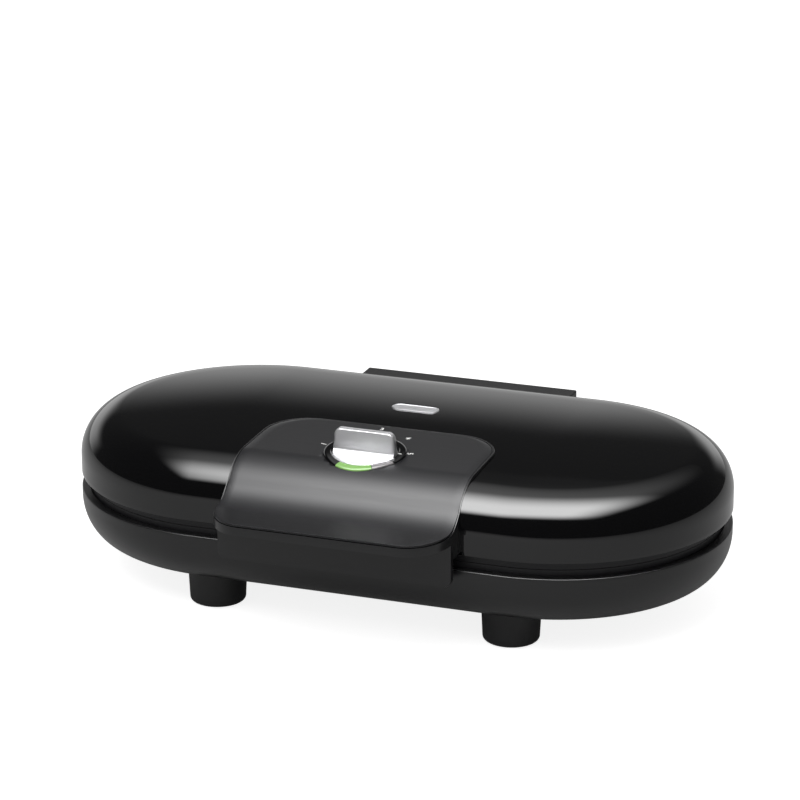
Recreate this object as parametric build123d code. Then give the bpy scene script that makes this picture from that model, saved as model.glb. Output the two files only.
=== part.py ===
from build123d import *
import math
import os

# Double waffle maker, closed, standing on its feet. Millimetres, +Z up, front at -Y.

# Body outline seen from above
body_length = 446.0
body_depth = 235.0
shell_wall = 2.5

# Heights of the closed body
foot_height = 24.0
base_height = 34.8
base_side_height = 5.8
base_shoulder_inset = 23.3
ledge_drop = 4.2
lid_edge_rise = 6.0
lid_side_height = 12.0
lid_shoulder_inset = 28.9
lid_shoulder_rise = 28.9
lid_crown_slope = 3.5

# Cast plates with two round moulds of five hearts each
rim_recess = 6.0
rim_gap = 0.5
parting_gap = 0.4
plate_thickness = 3.0
rim_skirt = 8.0
rim_wall = 3.0
mould_spacing = 202.0
mould_radius = 90.0
mould_recess = 2.3
recess_margin = 2.0
recess_core_radius = 78.0
hearts_per_mould = 5
heart_tip_start = 9.0
heart_lobe_angle = 17.3
heart_wall = 1.5
heart_depth = 8.5
heart_floor = 3.5
lattice_pitch = 15.0
lattice_bar = 3.5

# Heating elements, reflectors and what they carry
heater_radius = 66.0
heater_tube = 6.5
heater_gap_angle = 22.0
heater_clearance = 0.1
pin_diameter = 3.0
pin_length = 9.0
seat_ring_width = 10.0
reflector_radius = 84.0
reflector_thickness = 0.8
pin_window = 4.0
stud_radius = 5.0
stud_reach = 44.0
terminal_length = 30.0
terminal_width = 16.0
terminal_height = 10.0
terminal_y = 24.0
terminal_edge = 1.5
terminal_depth = 3.0
fuse_diameter = 4.4
fuse_length = 14.0
fuse_wire = 0.6

# Fasteners
screw_diameter = 4.0
screw_head_diameter = 8.0
screw_head_height = 2.2
screw_play = 0.05
head_sink = 0.2
plate_screw_depth = 20.0
head_room = 0.5
boss_radius = 5.0
plate_screw_x = 30.0
plate_screw_inset = 19.5
end_screw_inset = 17.0
small_screw_diameter = 3.0
small_head_diameter = 6.0
small_head_height = 1.8
small_screw_depth = 8.0
hinge_screw_depth = 14.0

# Feet
foot_end_inset = 121.0
foot_side_inset = 40.5
foot_top_radius = 19.5
foot_bottom_radius = 18.4
foot_edge_radius = 3.0
pad_radius = 14.0
pad_thickness = 2.6
pad_proud = 0.6
foot_screw_seat = 8.0
foot_boss_height = 12.0
foot_screw_short = 2.0
pad_edge = 0.4

# Front handle: housing with a bent metal panel on top
panel_rear_inset = 96.0
panel_half_width = 77.5
panel_widening = 1.0
panel_proud = 1.5
panel_slope = 1.8
bend_inset = 16.6
flare_slope = 50.4
flare_reach = 3.4
lip_slope = 0.0
lip_reach = 43.0
bend_radius = 36.0
flare_radius = 29.0
handle_corner_radius = 28.5
lip_corner_width = 25.0
lip_corner_depth = 33.0
handle_border = 1.8
lip_side_border = 0.8
lip_border = 0.4
panel_thickness = 1.2
panel_play = 0.1
sheet_seat_play = 0.05
handle_skin = 3.4
lip_height = 7.4
handle_wall = 2.2

# Skirt that hangs from the handle in front of the base
skirt_reach = 12.7
skirt_thickness = 5.0
skirt_drop = 7.4
skirt_corner_radius = 5.0

# Hinge at the back
hinge_offset = 12.5
hinge_rise = 3.0
pin_radius = 3.0
pin_play = 0.05
eye_radius = 8.0
knuckle_inner = 60.0
knuckle_outer = 70.5
knuckle_root = 12.0
knuckle_lean = 37.0
ear_inner = 71.0
hinge_half_width = 77.0
hinge_bar_reach = 25.0
hinge_bar_rise = 17.3
hinge_underside = 9.5
curtain_drop = 0.0
hinge_edge_radius = 1.0
hinge_screw_spacing = 50.0
hinge_screw_rise = 7.0
hinge_reach = 30.0
hinge_post_reach = 20.0
hinge_post_radius = 4.0
ear_clearance = 0.5
pin_inset = 1.0
pin_anchor = 2.0
pin_edge = 0.5

# Control knob, dial ring and lenses on the panel
knob_inset = 46.5
knob_radius = 22.2
knob_disc_height = 4.2
knob_blade_height = 9.9
knob_blade_edge = 5.0
knob_blade_step = 0.3
knob_disc_edge = 0.8
knob_wall = 1.0
knob_blade_thickness = 5.0
knob_lift = 0.5
bezel_outer_radius = 28.2
bezel_depth = 5.0
bezel_floor = 1.0
bezel_ring_height = 2.8
bezel_play = 0.6
bezel_edge = 0.6
lens_inner_radius = 24.9
lens_outer_radius = 28.4
lens_height = 2.9
lens_floor = 0.8
ready_lens_start = -120.0
ready_lens_sweep = 60.0
power_lens_start = -59.0
power_lens_sweep = 37.0
lens_play = 0.1
lamp_radius = 2.4
lamp_length = 8.0
lamp_edge = 1.0
light_hole_radius = 1.8
shaft_radius = 3.0
shaft_play = 0.05
bushing_radius = 5.0
thermostat_size = 26.0
thermostat_height = 12.0
thermostat_edge = 2.5
bushing_gap = 0.3
shaft_end_room = 0.5
bracket_height = 52.0
bracket_strip = 1.2
bracket_width = 14.0

# Plain badge on the lid
badge_x = 0.0
badge_y = 25.0
badge_length = 33.0
badge_width = 12.0
badge_proud = 0.8

# Mains entry and inner leads
gland_rise = 21.0
gland_bore = 3.75
gland_neck = 6.0
gland_flange = 9.0
gland_flange_thickness = 2.5
gland_inner_reach = 4.0
lead_radius = 1.4
harness_radius = 2.2
harness_room = 1.0
harness_offset = 16.0
harness_bend = 5.0
harness_play = 0.3
harness_reach = 40.0
lead_bend = 6.0
lead_spacing = 1.7
lead_run = 12.0
lead_fall = 24.0
tail_drop = 6.0
tail_run = 10.0
tail_bend = 3.0
lead_gap = 0.2

# Derived heights and radii
end_radius = body_depth / 2
half_straight = (body_length - body_depth) / 2
foot_x = half_straight + end_radius - foot_end_inset
foot_y = end_radius - foot_side_inset
hinge_y = end_radius + hinge_offset
hinge_back = end_radius + hinge_bar_reach
panel_rear = panel_rear_inset - end_radius
bend_y = bend_inset - end_radius
flare_end_y = -(end_radius + flare_reach)
lip_y = -(end_radius + lip_reach)
knob_y = knob_inset - end_radius
z_base = foot_height
z_ledge = z_base + base_height
z_part = z_ledge + ledge_drop
z_lid_edge = z_part + lid_edge_rise
z_lid_side = z_lid_edge + lid_side_height
hinge_screw_z = z_lid_side + hinge_screw_rise
hinge_top = z_lid_side + hinge_bar_rise
gland_z = z_base + gland_rise
lid_lean = math.radians(lid_crown_slope)
shoulder_turn = math.atan2(lid_shoulder_rise, lid_shoulder_inset * math.tan(lid_lean))
knee_reach = end_radius - lid_shoulder_inset * (1 - math.cos(shoulder_turn))
z_lid_top = z_lid_side + lid_shoulder_rise * math.sin(shoulder_turn) + knee_reach * math.tan(lid_lean / 2)
crown_radius = knee_reach / math.sin(lid_lean)
plate_radius = end_radius - rim_recess
plate_screw_y = plate_radius - plate_screw_inset
opening_radius = plate_radius + rim_gap
z_lower_face = z_part - parting_gap / 2
z_plate_back = z_lower_face - plate_thickness
z_pan_back = z_lower_face - heart_depth - heart_floor
z_heater = z_pan_back - heater_clearance - heater_tube / 2
z_reflector = z_heater - heater_tube / 2 - heater_clearance
mould_x = mould_spacing / 2
end_screw_x = half_straight + end_radius - end_screw_inset
hinge_z = z_part + hinge_rise
skirt_y = -(end_radius + skirt_reach)
z_skirt_low = z_ledge - skirt_drop
shift_y = (-lip_y - hinge_back) / 2
knob_z = z_lid_top + panel_proud - (panel_rear - knob_y) * math.tan(math.radians(panel_slope))
knob_frame = Plane(
    origin=(0, knob_y, knob_z),
    x_dir=(1, 0, 0),
    z_dir=(0, -math.sin(math.radians(panel_slope)), math.cos(math.radians(panel_slope))),
)


# Stadium-shaped bodies
def dome_face(radius, side, inset, rise, slope, whole):
    lean = math.radians(slope)
    turn = math.atan2(rise, inset * math.tan(lean))
    knee = (radius - inset * (1 - math.cos(turn)), side + rise * math.sin(turn))
    top = knee[1] + knee[0] * math.tan(lean / 2)
    outline = [
        Line((radius, 0), (radius, side)),
        EllipticalCenterArc((radius - inset, side), inset, rise, 0, arc_size=math.degrees(turn)),
    ]
    far = [mirror(edge, Plane.YZ) for edge in outline]
    if whole and slope:
        closing = [ThreePointArc(knee, (0, top), (-knee[0], knee[1])), Line((-radius, 0), (radius, 0))]
        return make_face(outline + closing + far)
    if whole:
        closing = [Line(knee, (-knee[0], knee[1])), Line((-radius, 0), (radius, 0))]
        return make_face(outline + closing + far)
    if slope:
        bow = knee[0] / math.sin(lean)
        middle = (bow * math.sin(lean / 2), top - bow * (1 - math.cos(lean / 2)))
        crown = ThreePointArc(knee, middle, (0, top))
    else:
        crown = Line(knee, (0, top))
    return make_face(outline + [crown, Line((0, top), (0, 0)), Line((0, 0), (radius, 0))])


def domed_body(radius, side, inset, rise, slope):
    across = dome_face(radius, side, inset, rise, slope, True)
    middle = extrude(Plane.YZ * across, half_straight, both=True)
    turned = revolve(Plane.XZ * dome_face(radius, side, inset, rise, slope, False), Axis.Z, 180)
    right = Pos(half_straight, 0, 0) * Rot(0, 0, -90) * turned
    return middle + right + mirror(right, Plane.YZ)


def stadium(radius, low, high):
    outline = SlotCenterToCenter(2 * half_straight, 2 * radius)
    return Pos(0, 0, low) * extrude(outline, high - low)


def rod(x, y, low, high, radius):
    return Pos(x, y, low) * extrude(Circle(radius), high - low)


def block(x_range, y_range, z_range):
    size = (x_range[1] - x_range[0], y_range[1] - y_range[0], z_range[1] - z_range[0])
    centre = (sum(x_range) / 2, sum(y_range) / 2, sum(z_range) / 2)
    return Pos(*centre) * Box(*size)


def side_solid(points, x_low, x_high):
    face = Plane.YZ * make_face(Polyline(*points, close=True))
    return Pos(x_low, 0, 0) * extrude(face, x_high - x_low)


def upper(shape):
    return mirror(shape, Plane.XY.offset(z_part))


def joined(shapes):
    total = shapes[0]
    for shape in shapes[1:]:
        total += shape
    return total


def grouped(shapes):
    return Compound([solid for shape in shapes for solid in shape.solids()])


# Where screws sit
plate_screws = [(sx * plate_screw_x, sy * plate_screw_y) for sx in (-1, 1) for sy in (-1, 1)]
plate_screws += [(-end_screw_x, 0), (end_screw_x, 0)]
feet = {
    "front_left": (-foot_x, -foot_y),
    "front_right": (foot_x, -foot_y),
    "rear_left": (-foot_x, foot_y),
    "rear_right": (foot_x, foot_y),
}
studs = [(0, -stud_reach), (0, stud_reach)]
screw_radius = screw_diameter / 2
screw_hole = screw_radius + screw_play
small_screw_radius = small_screw_diameter / 2
small_screw_hole = small_screw_radius + screw_play


# Handle line seen from the side, at a depth below its outer face
def handle_line(depth):
    slopes = [math.radians(angle) for angle in (panel_slope, flare_slope, lip_slope)]
    normals = [(-math.sin(angle), math.cos(angle)) for angle in slopes]
    rear = (panel_rear, z_lid_top + panel_proud)
    bend = (bend_y, rear[1] - (rear[0] - bend_y) * math.tan(slopes[0]))
    foot = (flare_end_y, bend[1] - (bend_y - flare_end_y) * math.tan(slopes[1]))
    over = 2 * handle_corner_radius
    start = (rear[0] + over, rear[1] + over * math.tan(slopes[0]))
    end = (foot[0] - over, foot[1] - over * math.tan(slopes[2]))
    start = tuple(start[i] - depth * normals[0][i] for i in (0, 1))
    end = tuple(end[i] - depth * normals[2][i] for i in (0, 1))
    corners = []
    for corner, first, second in ((bend, normals[0], normals[1]), (foot, normals[1], normals[2])):
        spread = 1 + first[0] * second[0] + first[1] * second[1]
        corners.append(tuple(corner[i] - depth * (first[i] + second[i]) / spread for i in (0, 1)))
    line = FilletPolyline(start, *corners, end, radius=[bend_radius - depth, flare_radius + depth])
    return line, start, end


def under_handle(depth, half_width, floor):
    line, start, end = handle_line(depth)
    closing = Polyline(end, (end[0], floor), (start[0], floor), start)
    face = Plane.YZ * make_face(line.edges() + closing.edges())
    return extrude(face, half_width, both=True)


# Outline seen from above: share 0 is the sheet, share 1 the housing with its border round the sheet
def handle_plan(share, grown, low, high):
    narrow = panel_half_width + share * handle_border + grown
    wide = panel_half_width + panel_widening + share * lip_side_border + grown
    front = lip_y + (1 - share) * lip_border - grown
    rear = panel_rear + share * handle_border + grown
    back = handle_corner_radius + share * handle_border + grown
    width = lip_corner_width + share * lip_side_border + grown
    depth = lip_corner_depth + share * lip_border + grown
    half = [
        Line((0, rear), (narrow - back, rear)),
        CenterArc((narrow - back, rear - back), back, 0, 90),
        Line((narrow, rear - back), (wide, front + depth)),
        EllipticalCenterArc((wide - width, front + depth), width, depth, 270, arc_size=90),
        Line((wide - width, front), (0, front)),
    ]
    outline = make_face(half + [mirror(edge, Plane.YZ) for edge in half])
    return Pos(0, 0, low) * extrude(outline, high - low)


def handle_sheet(top_depth, bottom_depth, grown):
    wide = panel_half_width + panel_widening + 2 * handle_border
    slab = under_handle(top_depth, wide, z_base) - under_handle(bottom_depth, 2 * wide, z_base - 1)
    return slab & handle_plan(0, grown, z_base, z_lid_top + 2 * handle_corner_radius)


foot_of_lip = handle_line(0)[2]
lip_z = foot_of_lip[1] + (lip_y - foot_of_lip[0]) * math.tan(math.radians(lip_slope))


# Base moulding
def base_shape(inset):
    body = domed_body(
        end_radius - inset,
        base_side_height,
        base_shoulder_inset - inset,
        base_height - base_side_height - inset,
        0,
    )
    return Pos(0, 0, z_ledge) * mirror(body, Plane.XY)


def knuckle(side):
    wall_y = end_radius
    inside = end_radius - 2 * shell_wall
    lean = math.radians(knuckle_lean)
    web = [
        (inside, z_ledge),
        (wall_y, z_ledge),
        (hinge_y - eye_radius, hinge_z),
        (hinge_y, hinge_z),
        (hinge_y - eye_radius * math.sin(lean), hinge_z - eye_radius * math.cos(lean)),
        (wall_y + eye_radius * math.sin(lean) / 2, z_ledge - shell_wall),
        (wall_y, z_ledge - knuckle_root),
        (inside, z_ledge - knuckle_root),
    ]
    low = min(side * knuckle_inner, side * knuckle_outer)
    width = knuckle_outer - knuckle_inner
    eye = Plane.YZ * Pos(hinge_y, hinge_z) * Circle(eye_radius)
    return side_solid(web, low, low + width) + Pos(low, 0, 0) * extrude(eye, width)


def base_shell():
    inner = base_shape(shell_wall) - stadium(end_radius, z_ledge - shell_wall, z_ledge + 1)
    shell = base_shape(0) - inner - stadium(opening_radius, z_ledge - 2 * shell_wall, z_ledge + 1)
    shell += joined([knuckle(side) for side in (-1, 1)]) - base_shape(shell_wall)
    posts = [rod(x, y, z_base + shell_wall / 2, z_plate_back, boss_radius) for x, y in plate_screws]
    foot_top = z_base + foot_boss_height
    posts += [rod(x, y, z_base + shell_wall / 2, foot_top, boss_radius) for x, y in feet.values()]
    shell += joined(posts)
    holes = [rod(x, y, z_base + shell_wall, z_plate_back + 1, screw_hole) for x, y in plate_screws]
    holes += [rod(x, y, z_base - 1, foot_top + 1, screw_hole) for x, y in feet.values()]
    holes.append(along_y(0, gland_z, end_radius - base_shoulder_inset, end_radius + 1, gland_neck))
    inside = end_radius - hinge_post_reach
    holes.append(along_y(-harness_offset, harness_z, inside, end_radius + 1, harness_radius + harness_play))
    holes.append(along_x(hinge_z, -hinge_half_width, hinge_half_width, pin_radius))
    return shell - joined(holes)


def along_y(x, z, low, high, radius):
    return Pos(x, low, z) * Rot(-90, 0, 0) * extrude(Circle(radius), high - low)


def along_x(z, low, high, radius, y=hinge_y):
    return Pos(low, y, z) * Rot(0, 90, 0) * extrude(Circle(radius), high - low)


harness_z = z_lower_face - rim_skirt - harness_radius - harness_room


# One heart seen from above, pointing along +X, its tip towards the middle of the mould
def heart(margin):
    spread = math.radians(180 / hearts_per_mould)
    lobe_at = math.radians(heart_lobe_angle)
    reach = mould_radius / (1 + math.sin(spread - lobe_at))
    lobe = mould_radius - reach
    centre = (reach * math.cos(lobe_at), reach * math.sin(lobe_at))
    away = math.hypot(centre[0] - heart_tip_start, centre[1])
    half_tip = math.atan2(centre[1], centre[0] - heart_tip_start) + math.asin(lobe / away)
    tip = heart_tip_start + margin / math.sin(half_tip)
    side = (-math.sin(half_tip), math.cos(half_tip))
    touch = (centre[0] + side[0] * (lobe - margin), centre[1] + side[1] * (lobe - margin))
    body = make_face(
        Polyline((tip, 0), touch, centre, (centre[0], -centre[1]), (touch[0], -touch[1]), close=True)
    )
    lobes = Circle(lobe - margin)
    return body + Pos(*centre) * lobes + Pos(centre[0], -centre[1]) * lobes


def heart_cells():
    cells = heart(heart_wall)
    rows = int(mould_radius // lattice_pitch)
    bar_length = 2 * mould_radius
    for row in range(-rows, rows + 1):
        along = (row + 0.5) * lattice_pitch
        cells -= Pos(mould_radius / 2, along) * Rectangle(bar_length, lattice_bar)
        cells -= Pos(along, 0) * Rectangle(lattice_bar, bar_length)
    return cells


def in_moulds(flat, low, high):
    tall = extrude(flat, high - low)
    turns = [360 / hearts_per_mould * (k + 0.5) for k in range(hearts_per_mould)]
    return [Pos(side * mould_x, 0, low) * Rot(0, 0, turn) * tall for side in (-1, 1) for turn in turns]


def lower_plate():
    skirt_low = z_lower_face - rim_skirt
    plate = stadium(plate_radius, skirt_low, z_lower_face)
    plate -= stadium(plate_radius - rim_wall, skirt_low - 1, z_plate_back)
    backs = in_moulds(heart(-heart_wall), z_pan_back, z_plate_back + plate_thickness / 2)
    for side in (-1, 1):
        outer = rod(side * mould_x, 0, z_pan_back, z_plate_back + 1, heater_radius + seat_ring_width / 2)
        backs.append(outer - rod(side * mould_x, 0, 0, z_part, heater_radius - seat_ring_width / 2))
    backs += [rod(x, y, z_reflector, z_plate_back + 1, stud_radius) for x, y in studs]
    plate += backs
    recess = in_moulds(heart(-recess_margin), z_lower_face - mould_recess, z_part)
    cores = [
        rod(side * mould_x, 0, z_lower_face - mould_recess, z_part, recess_core_radius) for side in (-1, 1)
    ]
    plate -= recess + cores
    cells = in_moulds(heart_cells(), z_lower_face - heart_depth, z_part)
    plate -= [solid for cell in cells for solid in cell.solids()]
    holes = [rod(x, y, z_reflector - 1, z_plate_back - plate_thickness, small_screw_hole) for x, y in studs]
    for x, y in plate_screws:
        holes.append(rod(x, y, z_plate_back - 1, z_part, screw_hole))
        sink = z_lower_face - screw_head_height
        holes.append(rod(x, y, sink, z_part, screw_head_diameter / 2 + screw_play))
    return plate - holes


def screws(places, head_low, head_up, tip, radius, head_radius):
    made = []
    for x, y in places:
        shank = rod(x, y, min(tip, head_low), max(tip, head_low), radius)
        made.append(shank + rod(x, y, min(head_low, head_up), max(head_low, head_up), head_radius))
    return made


def lower_plate_screws():
    head = z_lower_face - screw_head_height
    head_top = z_lower_face - head_sink
    tip = z_ledge - plate_screw_depth
    return grouped(screws(plate_screws, head, head_top, tip, screw_radius, screw_head_diameter / 2))


def heater(side):
    gap = heater_gap_angle
    start = 180 + gap if side > 0 else gap
    path = CenterArc((side * mould_x, 0, z_heater), heater_radius, start, 360 - 2 * gap)
    tube = sweep(Plane(origin=path @ 0, z_dir=path % 0) * Circle(heater_tube / 2), path)
    ends = [path @ 0, path @ 1]
    for end in ends:
        tube += rod(end.X, end.Y, z_heater - heater_tube / 2 - pin_length, z_heater, pin_diameter / 2)
    return tube


def heater_ends():
    gap = math.radians(heater_gap_angle)
    inner = mould_x - heater_radius * math.cos(gap)
    return [(sx * inner, sy * heater_radius * math.sin(gap)) for sx in (-1, 1) for sy in (-1, 1)]


def lower_reflector():
    low = z_reflector - reflector_thickness
    sheet = stadium(reflector_radius, low, z_reflector)
    holes = [rod(x, y, low - 1, z_reflector + 1, pin_window) for x, y in heater_ends()]
    holes += [rod(x, y, low - 1, z_reflector + 1, small_screw_hole) for x, y in studs]
    return sheet - joined(holes)


def lower_reflector_screws():
    low = z_reflector - reflector_thickness
    tip = z_reflector + small_screw_depth
    return grouped(
        screws(studs, low, low - small_head_height, tip, small_screw_radius, small_head_diameter / 2)
    )


def lower_terminal_block():
    top = z_reflector - reflector_thickness
    low = top - terminal_height
    x_range = (-terminal_length / 2, terminal_length / 2)
    body = block(x_range, (terminal_y - terminal_width / 2, terminal_y + terminal_width / 2), (low, top))
    body = chamfer(body.edges().filter_by(Axis.Z), terminal_edge)
    deep = low + terminal_depth
    clips = []
    for k in (-1, 0, 1):
        clips.append(rod(k * terminal_length / 3, terminal_y, low - 1, deep, small_screw_radius))
    return body - joined(clips)


def lower_thermal_fuse():
    z = z_reflector - reflector_thickness - heater_clearance - fuse_diameter / 2
    can = along_x(z, -fuse_length / 2, fuse_length / 2, fuse_diameter / 2, y=0)
    tails = along_x(z, -fuse_length, fuse_length, fuse_wire, y=0)
    return can + tails


# Feet
def foot(x, y):
    profile = Polyline(
        (0, pad_proud),
        (foot_bottom_radius, pad_proud),
        (foot_top_radius, z_base),
        (0, z_base),
        close=True,
    )
    face = make_face(profile)
    rim = face.vertices().sort_by(Axis.Y)[:2].sort_by(Axis.X)[-1]
    body = revolve(Plane.XZ * fillet(rim, foot_edge_radius), Axis.Z, 360)
    body -= rod(0, 0, -1, pad_thickness, pad_radius + screw_play)
    body -= rod(0, 0, 0, foot_screw_seat, screw_head_diameter / 2 + head_room)
    body -= rod(0, 0, 0, z_base + 1, screw_hole)
    return Pos(x, y, 0) * body


def foot_pad(x, y):
    pad = chamfer(rod(0, 0, 0, pad_thickness, pad_radius).edges().sort_by(Axis.Z)[0], pad_edge)
    return Pos(x, y, 0) * pad


def foot_screws():
    head = foot_screw_seat
    tip = z_base + foot_boss_height - foot_screw_short
    places = list(feet.values())
    return grouped(
        screws(places, head, head - screw_head_height, tip, screw_radius, screw_head_diameter / 2)
    )


# Lid moulding with the seat of the handle
def lid_shape(inset):
    return domed_body(
        end_radius - inset,
        lid_side_height - inset,
        lid_shoulder_inset - inset,
        lid_shoulder_rise - inset,
        lid_crown_slope,
    )


lid_outer = Pos(0, 0, z_lid_edge) * lid_shape(0)


def handle_seat():
    tall = z_lid_top + 2 * handle_corner_radius
    wide = 2 * panel_half_width
    seat = handle_plan(1, 0, z_base, tall) - under_handle(handle_skin, wide, z_base - 1)
    floor = handle_plan(1, shell_wall, z_base, tall)
    floor -= under_handle(handle_skin + shell_wall, wide, z_base - 1)
    return seat, floor


pocket, seat_floor = handle_seat()


def lid_posts(top):
    return [rod(x, y, 2 * z_part - z_plate_back, top, boss_radius) for x, y in plate_screws]


def lid_shell():
    cavity = Pos(0, 0, z_lid_edge + shell_wall) * lid_shape(shell_wall)
    shell = lid_outer - (cavity - seat_floor) - pocket
    shell -= stadium(opening_radius, z_lid_edge - 1, z_lid_edge + 2 * shell_wall)
    posts = joined(lid_posts(z_lid_top)) & (lid_outer - pocket)
    shell += posts
    screw_top = 2 * z_part - (z_ledge - plate_screw_depth) + 1
    holes = [rod(x, y, z_part, screw_top, screw_hole) for x, y in plate_screws]
    holes += [knob_frame * rod(0, 0, -20, 1, bushing_radius + screw_play)]
    holes += [knob_frame * hole for hole in light_holes()]
    inside = end_radius - hinge_post_reach
    outside = end_radius + 1
    holes += [along_y(x, hinge_screw_z, inside, outside, small_screw_hole) for x in hinge_screw_xs]
    holes.append(along_y(harness_offset, hinge_screw_z, inside, outside, harness_radius + harness_play))
    return shell - joined(holes)


hinge_screw_xs = [
    -hinge_screw_spacing,
    -hinge_screw_spacing / 2,
    hinge_screw_spacing / 2,
    hinge_screw_spacing,
]


def handle_housing():
    tall = z_lid_top + 2 * handle_corner_radius
    wide = panel_half_width + handle_border
    sides = (-2 * wide, 2 * wide)
    z_lip_low = lip_z - lip_height
    skirt_back = skirt_y + skirt_thickness
    body = under_handle(0, 2 * wide, z_skirt_low) & handle_plan(1, 0, z_skirt_low, tall)
    body -= lid_outer - pocket
    body -= block(sides, (lip_y - 1, skirt_y), (z_skirt_low - 1, z_lip_low))
    body -= block(sides, (skirt_back, 0), (z_skirt_low - 1, z_lid_edge))
    round_z = z_skirt_low + skirt_corner_radius
    for side in (-1, 1):
        round_x = side * (wide - skirt_corner_radius)
        corner = block(
            sorted((round_x, 2 * side * wide)), (skirt_y - 1, skirt_back + 1), (z_skirt_low - 1, round_z)
        )
        body -= corner - along_y(round_x, round_z, skirt_y - 1, skirt_back + 1, skirt_corner_radius)
    hollow = under_handle(handle_skin, wide - handle_wall, z_lid_edge + handle_wall)
    hollow &= handle_plan(1, -handle_wall, z_base, tall)
    hollow -= block(sides, (lip_y - 1, skirt_y + handle_wall), (z_base, z_lip_low + handle_wall))
    hollow -= handle_seat_band()
    body -= hollow
    body -= handle_sheet(-1, panel_thickness + sheet_seat_play, panel_play)
    holes = [rod(0, 0, -20, 1, bushing_radius + screw_play)] + light_holes()
    body -= knob_frame * joined(holes)
    return body


def handle_seat_band():
    return pocket & lid_outer


def handle_panel():
    sheet = handle_sheet(0, panel_thickness, 0)
    return sheet - knob_frame * rod(0, 0, -bezel_depth, bezel_depth, bezel_outer_radius + panel_play)


# Parts of the control, drawn about the middle of the knob and set on the panel
def lens_places():
    spans = [(ready_lens_start, ready_lens_sweep), (power_lens_start, power_lens_sweep)]
    return [math.radians(start + sweep_angle / 2) for start, sweep_angle in spans]


def light_holes():
    reach = (lens_inner_radius + lens_outer_radius) / 2
    return [
        rod(reach * math.cos(angle), reach * math.sin(angle), -20, bezel_floor, light_hole_radius)
        for angle in lens_places()
    ]


def arc_wall(start, sweep_angle, inner, outer, low, high):
    reach = 2 * outer
    first = math.radians(start)
    last = math.radians(start + sweep_angle)
    middle = (first + last) / 2
    wedge = make_face(
        Polyline(
            (0, 0),
            (reach * math.cos(first), reach * math.sin(first)),
            (2 * reach * math.cos(middle), 2 * reach * math.sin(middle)),
            (reach * math.cos(last), reach * math.sin(last)),
            close=True,
        )
    )
    ring = Circle(outer) - Circle(inner)
    return Pos(0, 0, low) * extrude(ring & wedge, high - low)


def lens(start, sweep_angle, grow=0.0):
    bent = math.degrees(grow / lens_outer_radius)
    return arc_wall(
        start - bent,
        sweep_angle + 2 * bent,
        lens_inner_radius - grow,
        lens_outer_radius + grow,
        lens_floor,
        lens_height + grow,
    )


def knob_bezel():
    ring = rod(0, 0, -bezel_depth, bezel_ring_height, bezel_outer_radius)
    ring = chamfer(ring.edges().sort_by(Axis.Z)[-1], bezel_edge)
    ring -= rod(0, 0, bezel_floor, bezel_ring_height + 1, knob_radius + bezel_play)
    ring -= rod(0, 0, -bezel_depth, bezel_depth, shaft_radius + bezel_play)
    ring -= lens(ready_lens_start, ready_lens_sweep, lens_play)
    ring -= lens(power_lens_start, power_lens_sweep, lens_play)
    ring -= joined(light_holes())
    below_sheet = panel_thickness + sheet_seat_play
    return knob_frame * ring - under_handle(below_sheet, 2 * bezel_outer_radius, z_base)


def knob():
    low = bezel_floor + knob_lift
    disc = rod(0, 0, low, low + knob_disc_height, knob_radius)
    disc = fillet(disc.edges().sort_by(Axis.Z)[-1], knob_disc_edge)
    blade_top = low + knob_disc_height + knob_blade_height
    half = knob_blade_thickness / 2
    blade = block((-knob_radius, knob_radius), (-half, half), (low + knob_disc_height / 2, blade_top))
    blade = fillet(blade.edges().filter_by(Axis.Y).group_by(Axis.Z)[-1], knob_blade_edge)
    blade = blade & rod(0, 0, low, blade_top, knob_radius - knob_blade_step)
    body = disc + blade
    body -= rod(0, 0, low - 1, low + knob_disc_height - knob_wall, shaft_radius + shaft_play)
    return knob_frame * body


thermostat_top = -(handle_skin + shell_wall)


def thermostat_shaft():
    top = bezel_floor + knob_lift + knob_disc_height - knob_wall - shaft_end_room
    return knob_frame * rod(0, 0, thermostat_top - thermostat_height / 2, top, shaft_radius)


def thermostat_body():
    half = thermostat_size / 2
    low = thermostat_top - thermostat_height
    body = block((-half, half), (-half, half), (low, thermostat_top))
    body = chamfer(body.edges().filter_by(Axis.Z), thermostat_edge)
    body += rod(0, 0, thermostat_top - 1, -panel_thickness - bushing_gap, bushing_radius)
    body -= rod(0, 0, low + thermostat_height / 2 - shaft_end_room, 1, shaft_radius + shaft_play)
    return knob_frame * body


def thermostat_bracket():
    half = thermostat_size / 2
    top = thermostat_top - thermostat_height
    reach = bracket_height
    y_range = (-bracket_width / 2, bracket_width / 2)
    strap = block((-half, half), y_range, (top - bracket_strip, top))
    for side in (-1, 1):
        x_range = sorted((side * half, side * (half - bracket_strip)))
        strap += block(x_range, y_range, (top - reach, top))
    strap = knob_frame * strap
    z_seat = 2 * z_part - z_reflector + reflector_thickness
    strap &= block((-reach, reach), (knob_y - reach, knob_y + reach), (z_seat, z_lid_top))
    feet_low = (z_seat, z_seat + bracket_strip)
    for side in (-1, 1):
        x_range = sorted((side * (half - bracket_strip), side * (half + bracket_width / 2)))
        strap += block(x_range, (knob_y - bracket_width / 2, knob_y + bracket_width / 2), feet_low)
    return strap


def indicator_lamps():
    reach = (lens_inner_radius + lens_outer_radius) / 2
    below_floor = under_handle(handle_skin + shell_wall, 2 * bezel_outer_radius, z_base)
    lamps = []
    for angle in lens_places():
        x = reach * math.cos(angle)
        y = reach * math.sin(angle)
        lamp = rod(x, y, thermostat_top - lamp_length, thermostat_top, lamp_radius)
        lamp = fillet(lamp.edges().sort_by(Axis.Z)[0], lamp_edge)
        lamps.append((knob_frame * lamp) & below_floor)
    return grouped(lamps)


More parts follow.
